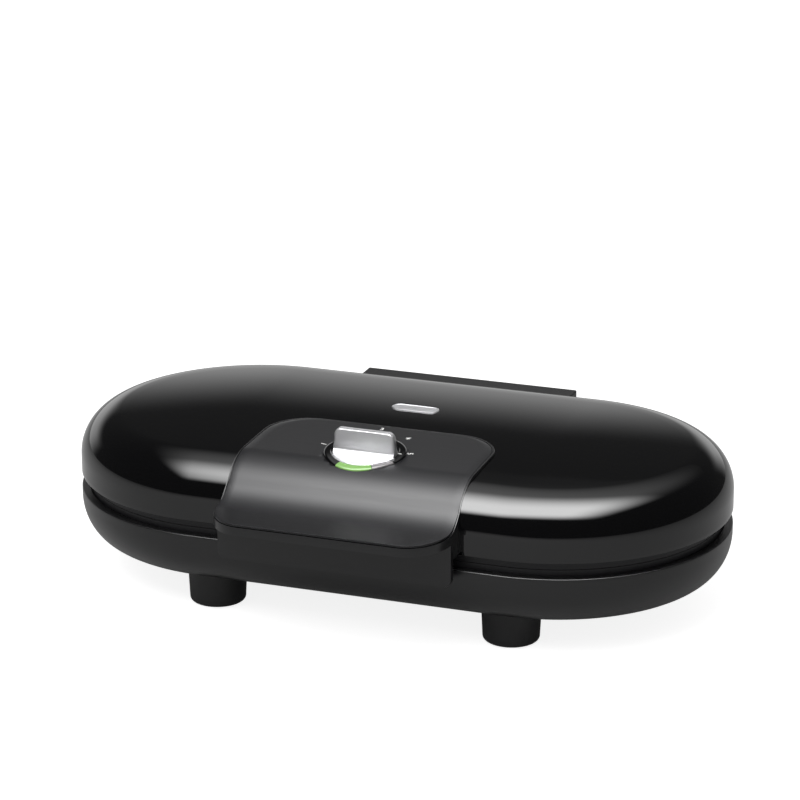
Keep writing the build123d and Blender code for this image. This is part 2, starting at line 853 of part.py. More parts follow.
# Hinge
def hinge_housing():
    low = hinge_z + hinge_underside
    back = hinge_back
    across = (-hinge_half_width, hinge_half_width)
    body = block(across, (end_radius - hinge_reach, back), (low, hinge_top))
    curtain = (hinge_z - curtain_drop, low + 1)
    body += block(across, (back - shell_wall, back), curtain)
    body = fillet(body.edges().filter_by(Axis.X).group_by(Axis.Y)[-1], hinge_edge_radius)
    hollow_y = (end_radius - hinge_reach - 1, back - shell_wall)
    hollow = block((-ear_inner, ear_inner), hollow_y, (low - 1, hinge_top - shell_wall))
    body -= hollow
    for side in (-1, 1):
        x_low = min(side * ear_inner, side * hinge_half_width)
        width = hinge_half_width - ear_inner
        web = [
            (hinge_y - eye_radius, hinge_z),
            (hinge_y - eye_radius, low + 1),
            (back, low + 1),
            (back, hinge_z - curtain_drop),
            (back - shell_wall, hinge_z - curtain_drop),
            (hinge_y, hinge_z - eye_radius + ear_clearance),
        ]
        body += side_solid(web, x_low, x_low + width)
        eye = Plane.YZ * Pos(hinge_y, hinge_z) * Circle(eye_radius)
        body += Pos(x_low, 0, 0) * extrude(eye, width)
    inside = end_radius - hinge_post_reach
    for x in hinge_screw_xs:
        body += along_y(x, hinge_screw_z, inside, back - shell_wall / 2, hinge_post_radius)
    body -= lid_outer
    for x in hinge_screw_xs:
        body -= along_y(x, hinge_screw_z, inside, back - 2 * shell_wall, small_screw_hole)
    body -= along_x(hinge_z, -hinge_half_width - 1, hinge_half_width + 1, pin_radius + pin_play)
    return body


def hinge_pin(side):
    inner = knuckle_inner - pin_anchor
    outer = hinge_half_width - pin_inset
    low = min(side * inner, side * outer)
    length = outer - inner
    pin = along_x(hinge_z, low, low + length, pin_radius)
    return chamfer(pin.edges().filter_by(GeomType.CIRCLE), pin_edge)


def hinge_screws():
    made = []
    wall = end_radius - shell_wall
    for x in hinge_screw_xs:
        start = screw_wall_y - small_head_height
        made.append(
            along_y(x, hinge_screw_z, start, screw_wall_y, small_head_diameter / 2)
            + along_y(x, hinge_screw_z, screw_wall_y - 1, wall + hinge_screw_depth, small_screw_radius)
        )
    return grouped(made)


shoulder_share = (hinge_screw_z + small_head_diameter / 2 - z_lid_side) / (lid_shoulder_rise - shell_wall)
screw_wall_y = (
    end_radius
    - lid_shoulder_inset
    + (lid_shoulder_inset - shell_wall) * math.sqrt(1 - max(0.0, shoulder_share) ** 2)
)


# Mains entry and inner leads
def cord_gland():
    low = end_radius - shell_wall - gland_inner_reach
    body = along_y(0, gland_z, low, end_radius + gland_flange_thickness, gland_neck - screw_play)
    body += along_y(0, gland_z, end_radius, end_radius + gland_flange_thickness, gland_flange)
    return body - along_y(0, gland_z, low - 1, end_radius + 2 * gland_flange_thickness, gland_bore)


def lead(points, radius, bend):
    line = FilletPolyline(*points, radius=bend)
    return sweep(Plane(origin=line @ 0, z_dir=line % 0) * Circle(radius), line)


def base_wiring():
    z = z_reflector - reflector_thickness - terminal_height / 2
    y = terminal_y + terminal_width / 2
    wires = []
    for side in (-1, 1):
        x = side * lead_spacing
        entry = end_radius - shell_wall - gland_inner_reach - 1
        far = side * terminal_length / 4
        wires.append(
            lead(
                [
                    (x, entry, gland_z),
                    (x, entry - lead_run, gland_z),
                    (far, entry - lead_run - lead_fall, z),
                    (far, y + lead_gap, z),
                ],
                lead_radius,
                lead_bend,
            )
        )
        for end in (-1, 1):
            ex = side * (mould_x - heater_radius * math.cos(math.radians(heater_gap_angle)))
            ey = end * heater_radius * math.sin(math.radians(heater_gap_angle))
            top = z_heater - heater_tube / 2 - pin_length
            wires.append(
                lead(
                    [
                        (ex, ey, top),
                        (ex, ey, top - tail_drop),
                        (ex - side * tail_run, ey, top - tail_drop),
                    ],
                    lead_radius,
                    tail_bend,
                )
            )
    drop = end_radius + harness_room
    wires.append(
        lead(
            [
                (-harness_offset, end_radius - harness_reach, harness_z),
                (-harness_offset, drop, harness_z),
                (-harness_offset, hinge_y, hinge_z),
                (0, hinge_y, hinge_z),
            ],
            harness_radius,
            harness_bend,
        )
    )
    return grouped(wires)


def lid_wiring():
    wires = [
        lead(
            [
                (0, hinge_y, hinge_z),
                (harness_offset, hinge_y, hinge_z),
                (harness_offset, hinge_y, hinge_screw_z),
                (harness_offset, end_radius - harness_reach, hinge_screw_z),
            ],
            harness_radius,
            harness_bend,
        )
    ]
    return grouped(wires)


def badge():
    low = z_lid_side
    surface = z_lid_top - badge_y ** 2 / (2 * crown_radius)
    outline = SlotOverall(badge_length, badge_width)
    slab = Pos(badge_x, badge_y, low) * extrude(outline, surface + badge_proud - low)
    return slab - lid_outer


parts = {
    "base_shell": base_shell(),
    "lower_plate": lower_plate(),
}
parts["lower_heater_left"] = heater(-1)
parts["lower_heater_right"] = heater(1)
parts["lower_reflector"] = lower_reflector()
parts["lower_terminal_block"] = lower_terminal_block()
parts["lower_thermal_fuse"] = lower_thermal_fuse()
parts["lower_plate_screws"] = lower_plate_screws()
parts["lower_reflector_screws"] = lower_reflector_screws()
for name in list(parts):
    if name.startswith("lower_"):
        parts["upper_" + name[len("lower_"):]] = upper(parts[name])
for name, (x, y) in feet.items():
    parts["foot_" + name] = foot(x, y)
    parts["foot_pad_" + name] = foot_pad(x, y)
parts["foot_screws"] = foot_screws()
parts["lid_shell"] = lid_shell()
parts["handle_housing"] = handle_housing()
parts["handle_panel"] = handle_panel()
parts["knob_bezel"] = knob_bezel()
parts["ready_lens"] = knob_frame * lens(ready_lens_start, ready_lens_sweep)
parts["power_lens"] = knob_frame * lens(power_lens_start, power_lens_sweep)
parts["knob"] = knob()
parts["thermostat_shaft"] = thermostat_shaft()
parts["thermostat_body"] = thermostat_body()
parts["thermostat_bracket"] = thermostat_bracket()
parts["indicator_lamps"] = indicator_lamps()
parts["hinge_housing"] = hinge_housing()
parts["hinge_pin_left"] = hinge_pin(-1)
parts["hinge_pin_right"] = hinge_pin(1)
parts["hinge_screws"] = hinge_screws()
parts["cord_gland"] = cord_gland()
parts["base_wiring"] = base_wiring()
parts["lid_wiring"] = lid_wiring()
parts["badge"] = badge()

os.makedirs("parts", exist_ok=True)
for name, shape in parts.items():
    export_step(Pos(0, shift_y, 0) * shape, f"parts/{name}.step")
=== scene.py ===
"""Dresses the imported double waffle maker: moulded lid and base, brushed handle cover,
control knob with its dial, hinge bar, plates and a small photo studio."""

import math

import bmesh
import bpy
from bpy.props import FloatProperty, FloatVectorProperty, IntProperty, PointerProperty, StringProperty
from mathutils import Matrix, Vector


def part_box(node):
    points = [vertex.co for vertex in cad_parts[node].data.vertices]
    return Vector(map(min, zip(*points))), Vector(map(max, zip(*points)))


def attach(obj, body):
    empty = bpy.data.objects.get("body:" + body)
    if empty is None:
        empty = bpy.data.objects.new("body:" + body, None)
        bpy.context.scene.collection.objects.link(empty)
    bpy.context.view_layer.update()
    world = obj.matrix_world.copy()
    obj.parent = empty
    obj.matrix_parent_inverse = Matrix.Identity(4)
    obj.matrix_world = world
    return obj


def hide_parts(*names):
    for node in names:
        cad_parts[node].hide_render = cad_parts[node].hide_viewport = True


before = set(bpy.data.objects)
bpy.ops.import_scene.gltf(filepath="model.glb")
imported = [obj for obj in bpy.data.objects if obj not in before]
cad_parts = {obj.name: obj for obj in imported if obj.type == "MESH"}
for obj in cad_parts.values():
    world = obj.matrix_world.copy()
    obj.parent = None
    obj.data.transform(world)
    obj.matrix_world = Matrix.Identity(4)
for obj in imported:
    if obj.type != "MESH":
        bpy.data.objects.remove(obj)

bl_info = {
    "name": "Double Waffle Maker",
    "version": (1, 0, 0),
    "blender": (4, 5, 0),
    "location": "View3D > Sidebar > Waffle Maker",
    "description": "Builds the visible pieces and finishes of a double waffle maker around its frame",
    "category": "Add Mesh",
}

MM = 0.001
LID_LOW, LID_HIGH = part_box("lid_shell")
BASE_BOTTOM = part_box("base_shell")[0].z / MM
REAR_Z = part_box("handle_panel")[1].z / MM
HINGE_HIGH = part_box("hinge_housing")[1]
PIN_LOW, PIN_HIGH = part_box("hinge_pin_right")
PIN_Y, PIN_Z = (PIN_LOW.y + PIN_HIGH.y) / 2 / MM, (PIN_LOW.z + PIN_HIGH.z) / 2 / MM
CENTRE_Y = (LID_LOW.y + LID_HIGH.y) / 2 / MM
END_RADIUS = (LID_HIGH.y - LID_LOW.y) / 2 / MM
HALF_STRAIGHT = LID_HIGH.x / MM - END_RADIUS


def length_property(name, description, millimetres):
    return FloatProperty(name=name, description=description, default=millimetres * MM, unit="LENGTH")


def angle_property(name, description, degrees):
    return FloatProperty(name=name, description=description, default=math.radians(degrees), unit="ROTATION")


def colour_property(name, surface, srgb):
    return StringProperty(name=name, description="sRGB colour of the " + surface, default=srgb)


# Sizes and colours that a user would change
class WaffleSizes(bpy.types.PropertyGroup):
    lid_edge: length_property("Lid edge", "Height of the lid's lower edge", 69.0)
    lid_side: length_property("Lid side", "Height of the lid's upright wall", 12.0)
    lid_shoulder: length_property("Lid shoulder", "Reach of the lid's round shoulder", 28.9)
    crown_slope: angle_property("Crown slope", "Slope of the crown where it meets the shoulder", 3.5)
    ledge: length_property("Ledge", "Height of the base's upper edge", 58.8)
    base_side: length_property("Base side", "Height of the base's upright wall", 5.8)
    base_shoulder: length_property("Base shoulder", "Reach of the base's rounded underside", 23.3)
    plate_opening: length_property("Plate opening", "Radius of the opening for the plates", 112.0)
    wall: length_property("Wall", "Thickness of the mouldings", 2.5)
    edge_round: length_property("Edge rounding", "Radius on the base's edges, twice the lid's", 0.8)
    knob_radius: length_property("Knob radius", "Radius of the control knob", 21.0)
    numeral_height: length_property("Numeral height", "Height of the printed numerals", 3.9)
    arc_steps: IntProperty(
        name="Arc steps", description="Steps round each end of the body", default=72, min=16
    )


class WaffleFinishes(bpy.types.PropertyGroup):
    gloss_black: colour_property("Gloss black", "polished lid", "#060607")
    satin_black: colour_property("Satin black", "base moulding", "#0F0F10")
    matt_black: colour_property("Matt black", "hinge bar and feet", "#0C0C0D")
    sheet_black: colour_property("Sheet black", "anodised handle cover", "#131315")
    knob_silver: colour_property("Knob silver", "control knob", "#C3C3C5")
    ready_green: colour_property("Ready green", "ready lens", "#8CBF66")
    lens_grey: colour_property("Lens grey", "power lens", "#9A9798")


class WaffleStudio(bpy.types.PropertyGroup):
    focal: FloatProperty(
        name="Focal length", description="Camera lens on a 36 mm sensor", default=150.93, min=20
    )
    place: FloatVectorProperty(
        name="Camera place", description="Where the camera stands", size=3,
        default=(0.71778, -1.97174, 0.82087), unit="LENGTH",
    )
    azimuth: angle_property("Azimuth", "Turn of the view from the front", 19.97)
    elevation: angle_property("Elevation", "Tilt of the view below the horizon", 18.244)
    softbox_level: FloatProperty(
        name="Softbox level", description="Radiance that polished parts see overhead", default=12.0, min=0
    )
    fill_level: FloatProperty(name="Fill level", description="Even light from the room", default=0.55, min=0)
    key_power: FloatProperty(
        name="Key power", description="Power of the soft key light", default=16.0, min=0, unit="POWER"
    )


# Small helpers
def linear(hex_colour):
    channels = [int(hex_colour[k : k + 2], 16) / 255 for k in (1, 3, 5)]
    return [c / 12.92 if c <= 0.04045 else ((c + 0.055) / 1.055) ** 2.4 for c in channels] + [1.0]


def add_node(tree, kind, sockets=None, **settings):
    """Adds a shader node. A socket takes a number, a colour, another socket or another node's output."""
    node = tree.nodes.new("ShaderNode" + kind)
    for name, value in settings.items():
        setattr(node, name, value)
    for key, value in (sockets or {}).items():
        if isinstance(value, bpy.types.Node):
            value = next(output for output in value.outputs if output.enabled)
        if isinstance(value, bpy.types.NodeSocket):
            tree.links.new(value, node.inputs[key])
        else:
            node.inputs[key].default_value = value
    return node


def new_material(name):
    """An empty material, its tree and the place on its piece in metres."""
    material = bpy.data.materials.new(name)
    material.use_nodes = True
    tree = material.node_tree
    tree.nodes.clear()
    return material, tree, add_node(tree, "TexCoord").outputs["Object"]


def close_material(material, sockets):
    """Gives a material its shader, with values for the shader's sockets, and its output."""
    shader = add_node(material.node_tree, "BsdfPrincipled", sockets)
    add_node(material.node_tree, "OutputMaterial", {"Surface": shader})
    return material


def add_object(name, data):
    made = bpy.data.objects.new(name, data)
    bpy.context.scene.collection.objects.link(made)
    return made


def mesh_piece(name, shape, material, body=None, sharp=35.0):
    """Vertices in millimetres and faces, made into a piece in metres that rides on a body."""
    verts, faces = shape
    weld, sliver = 0.002 * MM, 0.0005 * MM
    mesh = bpy.data.meshes.new(name)
    mesh.from_pydata([tuple(c * MM for c in v) for v in verts], [], faces)
    work = bmesh.new()
    work.from_mesh(mesh)
    bmesh.ops.remove_doubles(work, verts=work.verts, dist=weld)
    bmesh.ops.dissolve_degenerate(work, edges=work.edges, dist=sliver)
    bmesh.ops.recalc_face_normals(work, faces=work.faces)
    work.to_mesh(mesh)
    work.free()
    mesh.shade_smooth()
    mesh.set_sharp_from_angle(angle=math.radians(sharp))
    piece = add_object(name, mesh)
    piece.data.materials.append(material)
    if body:
        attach(piece, body)
    return piece


def round_edges(piece, radius, segments):
    """Rounds the edges that are sharper than 50 degrees."""
    bevel = piece.modifiers.new("edge_rounding", "BEVEL")
    bevel.width = radius * MM
    bevel.segments = segments
    bevel.limit_method = "ANGLE"
    bevel.angle_limit = math.radians(50.0)
    bevel.harden_normals = True


def cut_away(piece, shape):
    """Takes a closed shape, in millimetres, out of a piece's mesh."""
    tool = mesh_piece("cutting_tool", shape, piece.data.materials[0])
    cut = piece.modifiers.new("cut", "BOOLEAN")
    cut.operation = "DIFFERENCE"
    cut.solver = "EXACT"
    cut.object = tool
    mesh = bpy.data.meshes.new_from_object(piece.evaluated_get(bpy.context.evaluated_depsgraph_get()))
    piece.modifiers.remove(cut)
    piece.data = mesh
    bpy.data.objects.remove(tool)


def eased(share):
    """A share held between 0 and 1, with a soft start and end."""
    share = min(1.0, max(0.0, share))
    return share * share * (3 - 2 * share)


def arc(centre, radius, start, end, steps):
    """Points on an arc of an ellipse in a plane, angles in degrees."""
    rx, ry = radius if isinstance(radius, tuple) else (radius, radius)
    angles = [math.radians(start + (end - start) * k / steps) for k in range(steps + 1)]
    return [(centre[0] + rx * math.cos(a), centre[1] + ry * math.sin(a)) for a in angles]


def loft(loops, closed_sections=False, caps=False):
    """Quads between loops of equally many points, each loop closed on itself."""
    count = len(loops[0])
    verts = [v for loop in loops for v in loop]
    faces = []
    spans = len(loops) if closed_sections else len(loops) - 1
    for i in range(spans):
        j = (i + 1) % len(loops)
        for k in range(count):
            m = (k + 1) % count
            faces.append((i * count + k, i * count + m, j * count + m, j * count + k))
    if caps:
        faces.append(tuple(range(count)))
        faces.append(tuple(range((len(loops) - 1) * count, len(loops) * count)))
    return verts, faces


def stadium_loop(radius, z, steps):
    """Points round a stadium whose ends have the given radius."""
    straight_steps = 24
    points = []
    for side, start in ((1, -90.0), (-1, 90.0)):
        for x, y in arc((side * HALF_STRAIGHT, CENTRE_Y), radius, start, start + 180.0, steps):
            points.append((x, y, z))
        for k in range(1, straight_steps):
            x = side * HALF_STRAIGHT * (1 - 2 * k / straight_steps)
            points.append((x, CENTRE_Y + side * radius, z))
    return points


def stadium_body(profile, steps):
    """A profile of (end radius, height) taken round the stadium."""
    return loft([stadium_loop(r, z, steps) for r, z in profile])


def turned(profile, steps, place):
    """A profile of (radius, height) turned about an upright axis and put in place by a function."""
    last = 360.0 * (1 - 1 / steps)
    return loft([[place(x, y, z) for x, y in arc((0, 0), r, 0.0, last, steps - 1)] for r, z in profile])


def bar(outline, x_low, x_high):
    """An outline in the side view, (y, z), stretched along X."""
    loops = [[(x, y, z) for y, z in outline] for x in (x_low, x_high)]
    return loft(loops, caps=True)


# The handle's line in the side view and its plan, as the metal cover follows them
PANEL_SLOPE = math.radians(1.8)
FLARE_SLOPE = math.radians(50.4)
LIP_SLOPE = 0.0
PANEL_REAR = -21.5 + CENTRE_Y
BEND_Y = -101.2 + CENTRE_Y
FLARE_END = -121.2 + CENTRE_Y
LIP_Y = -160.5 + CENTRE_Y
HALF_WIDTH, WIDENING = 77.5, 1.0
BEND_RADIUS, FLARE_RADIUS = 36.0, 29.0
REAR_CORNER, LIP_CORNER_X, LIP_CORNER_Y = 28.5, 25.0, 33.0
BORDER, LIP_SIDE_BORDER, LIP_BORDER = 1.8, 0.8, 0.4
LIP_HEIGHT = 7.4
SKIRT_Y = -130.2 + CENTRE_Y
SKIRT_BACK = SKIRT_Y + 5.0
SKIRT_LOW = 51.4
SKIRT_HALF = 79.2


def handle_samples():
    """Points along the handle's line with its slope there, from the rear to the lip."""
    slopes = (PANEL_SLOPE, FLARE_SLOPE, LIP_SLOPE)
    tangents = [Vector((-math.cos(a), -math.sin(a))) for a in slopes]
    bend = Vector((BEND_Y, REAR_Z - (PANEL_REAR - BEND_Y) * math.tan(PANEL_SLOPE)))
    foot = Vector((FLARE_END, bend.y - (BEND_Y - FLARE_END) * math.tan(FLARE_SLOPE)))
    over, steps = 60.0, 28
    samples = [(Vector((PANEL_REAR + over, REAR_Z + over * math.tan(PANEL_SLOPE))), slopes[0])]
    for corner, first, second, radius, bulge in (
        (bend, 0, 1, BEND_RADIUS, 1),
        (foot, 1, 2, FLARE_RADIUS, -1),
    ):
        half = abs(slopes[second] - slopes[first]) / 2
        start = corner - tangents[first] * radius * math.tan(half)
        normal = Vector((-math.sin(slopes[first]), math.cos(slopes[first])))
        centre = start - normal * radius * bulge
        for k in range(steps + 1):
            a = slopes[first] + (slopes[second] - slopes[first]) * k / steps
            samples.append((centre + Vector((-math.sin(a), math.cos(a))) * radius * bulge, a))
    return samples + [(foot + tangents[2] * over, slopes[2])]


HANDLE_SAMPLES = handle_samples()


def handle_z(y, depth):
    """Height of the handle's line at y, at a depth below its outer face."""
    line = [p - Vector((-math.sin(a), math.cos(a))) * depth for p, a in HANDLE_SAMPLES]
    for p, q in zip(line, line[1:]):
        if q.x <= y <= p.x:
            share = (p.x - y) / (p.x - q.x) if p.x > q.x else 0.0
            return p.y + (q.y - p.y) * share
    return line[-1].y if y < line[-1].x else line[0].y


CORNER_STEPS, SIDE_STEPS, LIP_STEPS = 12, 64, 18


def plan_rows(share, grown):
    """Half widths at rows from the rear to the lip: share 0 is the sheet, share 1 its housing."""
    narrow = HALF_WIDTH + share * BORDER + grown
    wide = HALF_WIDTH + WIDENING + share * LIP_SIDE_BORDER + grown
    rear = PANEL_REAR + share * BORDER + grown
    front = LIP_Y + (1 - share) * LIP_BORDER - grown
    back = REAR_CORNER + share * BORDER + grown
    width = LIP_CORNER_X + share * LIP_SIDE_BORDER + grown
    depth = LIP_CORNER_Y + share * LIP_BORDER + grown
    rows = []
    for k in range(CORNER_STEPS + 1):
        a = math.radians(90 - 90 * k / CORNER_STEPS)
        rows.append((rear - back + back * math.sin(a), narrow - back + back * math.cos(a)))
    low, high = rear - back, front + depth
    for k in range(1, SIDE_STEPS + 1):
        t = k / SIDE_STEPS
        rows.append((low + (high - low) * t, narrow + (wide - narrow) * t))
    for k in range(1, LIP_STEPS + 1):
        a = math.radians(90 * k / LIP_STEPS)
        rows.append((high - depth * math.sin(a), wide - width + width * math.cos(a)))
    return rows


def at_depth(depth):
    """Height as a function of y, for a depth that is a number or itself a function of y."""
    return lambda y: handle_z(y, depth(y) if callable(depth) else depth)


def handle_loop(share, grown, level, columns):
    """Closed loop round the handle's plan at the heights that level gives."""
    rows = plan_rows(share, grown)
    right = [(w, y, level(y)) for y, w in rows]
    left = [(-w, y, level(y)) for y, w in reversed(rows)]
    y0, w0 = rows[0]
    y1, w1 = rows[-1]
    front = [(w1 * (1 - 2 * k / columns), y1, level(y1)) for k in range(1, columns)]
    rear = [(-w0 * (1 - 2 * k / columns), y0, level(y0)) for k in range(1, columns)]
    return right + front + left + rear


def handle_top(share, grown, level, columns):
    """Vertices and faces of the sheet inside the loop that handle_loop gives."""
    rows = plan_rows(share, grown)
    verts = []
    for y, w in rows:
        z = level(y)
        verts += [(w * (1 - 2 * k / columns), y, z) for k in range(columns + 1)]
    faces = []
    step = columns + 1
    for i in range(len(rows) - 1):
        for k in range(columns):
            a = i * step + k
            faces.append((a, a + 1, a + step + 1, a + step))
    return verts, faces


def merged(*meshes):
    verts, faces = [], []
    for more_verts, more_faces in meshes:
        offset = len(verts)
        verts += list(more_verts)
        faces += [tuple(i + offset for i in face) for face in more_faces]
    return verts, faces


KNOB_Y = -71.0 + CENTRE_Y
KNOB_Z = REAR_Z - (PANEL_REAR - KNOB_Y) * math.tan(PANEL_SLOPE)
# Dial ring: its radii, and its heights over the bent sheet at the back, beside the lenses and under them
RING_INNER, RING_OUTER, RING_HIGH, RING_LOW, RING_SUNK = 22.0, 27.0, 2.3, 1.1, -0.6
LENS_SPANS = {"ready": (-115.0, -60.5), "power": (-60.5, -27.0)}


def knob_place(unit):
    """The knob's own place, on its axis at the sheet and square to it, with lengths in a unit."""
    return Matrix.Translation((0, KNOB_Y * unit, KNOB_Z * unit)) @ Matrix.Rotation(PANEL_SLOPE, 4, "X")


KNOB_PLACE = knob_place(1.0)


def on_knob(x, y, z):
    """A point of the knob's own place, in the object's frame."""
    return tuple(KNOB_PLACE @ Vector((x, y, z)))


def sheet_rise(y):
    """Height of the bent sheet over the knob's own plane, at y from the knob's axis."""
    return handle_z(KNOB_Y + y, 0.0) - KNOB_Z - y * math.tan(PANEL_SLOPE)


# Materials, each named for what the real one is and how its surface was made
def repeat(size_mm):
    """Texture scale for a pattern of a real size."""
    return 1 / (size_mm * MM)


def tones(srgb, darker, lighter):
    """The two ends between which a colour's mottle moves."""
    base = linear(srgb)[:3]
    return {"A": [c * darker for c in base] + [1.0], "B": [min(1.0, c * lighter) for c in base] + [1.0]}


def brushed_lines(tree, metres, sizes_mm, srgb, contrast, roughness, spread, relief):
    """Colour, roughness and bump of lines along X, from their spacing and length."""
    across, along = (repeat(size_mm) for size_mm in sizes_mm)
    lines = add_node(tree, "Mapping", {"Vector": metres, "Scale": (along, across, across)})
    grain = add_node(tree, "TexNoise", {"Vector": lines, "Scale": 1.0, "Detail": 3.0})
    smooth, dull = roughness - spread, roughness + spread
    rough = add_node(
        tree, "MapRange", {"Value": grain, "From Min": 0.3, "From Max": 0.7, "To Min": smooth, "To Max": dull}
    )
    tone = add_node(
        tree, "Mix", {"Factor": grain, **tones(srgb, 1 - contrast, 1 + contrast)}, data_type="RGBA"
    )
    bump = add_node(tree, "Bump", {"Height": grain, "Strength": relief, "Distance": 0.02 * MM})
    return {"Base Color": tone, "Roughness": rough, "Normal": bump}


def polished_abs(name, srgb):
    # ABS moulded in a polished tool: a deep black with sharp reflections and a faint long wave in them
    material, tree, metres = new_material(name)
    wave_mm, scuff_mm = 38.0, 5.0
    wave = add_node(tree, "TexNoise", {"Vector": metres, "Scale": repeat(wave_mm), "Detail": 1.0})
    scuff = add_node(tree, "TexNoise", {"Vector": metres, "Scale": repeat(scuff_mm), "Detail": 4.0})
    rough = add_node(tree, "MapRange", {"Value": scuff, "To Min": 0.035, "To Max": 0.075})
    bump = add_node(tree, "Bump", {"Height": wave, "Strength": 0.02, "Distance": 0.3 * MM})
    return close_material(
        material, {"Base Color": linear(srgb), "Roughness": rough, "IOR": 1.53, "Normal": bump}
    )


def grained_moulding(name, srgb, roughness, grain_mm, depth_mm):
    # Thermoplastic moulded in a spark-eroded tool: fine even grain that softens the light
    material, tree, metres = new_material(name)
    cloud_mm, spread = 45.0, 0.04
    grain = add_node(tree, "TexNoise", {"Vector": metres, "Scale": repeat(grain_mm), "Detail": 2.0})
    cloud = add_node(tree, "TexNoise", {"Vector": metres, "Scale": repeat(cloud_mm), "Detail": 3.0})
    rough = add_node(
        tree, "MapRange", {"Value": cloud, "To Min": roughness - spread, "To Max": roughness + spread}
    )
    tone = add_node(tree, "Mix", {"Factor": cloud, **tones(srgb, 0.92, 1.08)}, data_type="RGBA")
    bump = add_node(tree, "Bump", {"Height": grain, "Strength": 0.25, "Distance": depth_mm * MM})
    return close_material(material, {"Base Color": tone, "Roughness": rough, "IOR": 1.5, "Normal": bump})


def brushed_metal(name, srgb, roughness, run_mm, contrast, place=None):
    # Metal drawn under an abrasive belt: lines along X, coarser than real ones so that they show, which
    # stretch each highlight across them
    material, tree, metres = new_material(name)
    line_mm, spread, anisotropy, relief = 0.3, 0.05, 0.2, 0.12
    if place is not None:
        metres = add_node(tree, "Mapping", {"Vector": metres, "Rotation": (-place.to_euler().x, 0, 0)})
    skin = brushed_lines(tree, metres, (line_mm, run_mm), srgb, contrast, roughness, spread, relief)
    tangent = add_node(tree, "Tangent", direction_type="RADIAL", axis="X")
    return close_material(material, {**skin, "Metallic": 1.0, "Anisotropic": anisotropy, "Tangent": tangent})


def anodised_sheet(name, srgb):
    # Aluminium sheet brushed along X and anodised black: the dyed skin is dark grey with a soft even sheen,
    # and its lines, drawn coarser than real ones so that they show, are only a faint streak in it
    material, tree, metres = new_material(name)
    line_mm, run_mm = 0.5, 30.0
    skin = brushed_lines(tree, metres, (line_mm, run_mm), srgb, 0.06, 0.36, 0.03, 0.1)
    return close_material(material, {**skin, "IOR": 1.41})


def plated_metal(name, srgb, roughness, blotch_mm):
    # Pressed or turned metal with a plated or rolled skin: even shine with small patches of dull
    material, tree, metres = new_material(name)
    shinier, duller = 0.08, 0.1
    patch = add_node(tree, "TexNoise", {"Vector": metres, "Scale": repeat(blotch_mm), "Detail": 4.0})
    rough = add_node(
        tree, "MapRange", {"Value": patch, "To Min": roughness - shinier, "To Max": roughness + duller}
    )
    return close_material(material, {"Base Color": linear(srgb), "Metallic": 1.0, "Roughness": rough})


def nonstick_casting(name):
    # Die-cast aluminium sprayed with a fluoropolymer: near black, low sheen, with fine bright flecks
    material, tree, metres = new_material(name)
    fleck_mm, peel_mm, fleck_share = 0.9, 1.6, 0.16
    fleck = add_node(tree, "TexVoronoi", {"Vector": metres, "Scale": repeat(fleck_mm)}, feature="F1")
    spot = add_node(
        tree, "MapRange", {"Value": fleck, "From Max": fleck_share, "To Min": 1.0, "To Max": 0.0}
    )
    tone = add_node(
        tree, "Mix", {"Factor": spot, "A": linear("#1A1A1C"), "B": linear("#38383A")}, data_type="RGBA"
    )
    peel = add_node(tree, "TexNoise", {"Vector": metres, "Scale": repeat(peel_mm), "Detail": 2.0})
    bump = add_node(tree, "Bump", {"Height": peel, "Strength": 0.2, "Distance": 0.05 * MM})
    return close_material(material, {"Base Color": tone, "Roughness": 0.4, "IOR": 1.38, "Normal": bump})


def tinted_acrylic(name, srgb, clearness):
    # Acrylic moulded in one colour, with a glossy skin; its soft glow is painted light, an emission in its
    # own colour with no lamp behind it
    material, tree, metres = new_material(name)
    # The glow strength below is a painted glow: the lens shines in its own colour though nothing lights it
    # from behind
    streak_mm, painted_glow = 6.0, 0.12
    streak = add_node(tree, "TexNoise", {"Vector": metres, "Scale": repeat(streak_mm), "Detail": 1.0})
    tone = add_node(tree, "Mix", {"Factor": streak, **tones(srgb, 0.8, 1.15)}, data_type="RGBA")
    return close_material(
        material,
        {"Base Color": tone, "Roughness": 0.12, "IOR": 1.49, "Transmission Weight": clearness,
         "Emission Color": linear(srgb), "Emission Strength": painted_glow},
    )


def plain_solid(name, srgb, roughness, ior, speck_mm, spread=0.1):
    # Pressed ceramic, moulded rubber, extruded silicone or printed ink: one tone with a fine mottle
    material, tree, metres = new_material(name)
    speck = add_node(tree, "TexNoise", {"Vector": metres, "Scale": repeat(speck_mm), "Detail": 3.0})
    tone = add_node(tree, "Mix", {"Factor": speck, **tones(srgb, 1 - spread, 1 + spread)}, data_type="RGBA")
    return close_material(material, {"Base Color": tone, "Roughness": roughness, "IOR": ior})


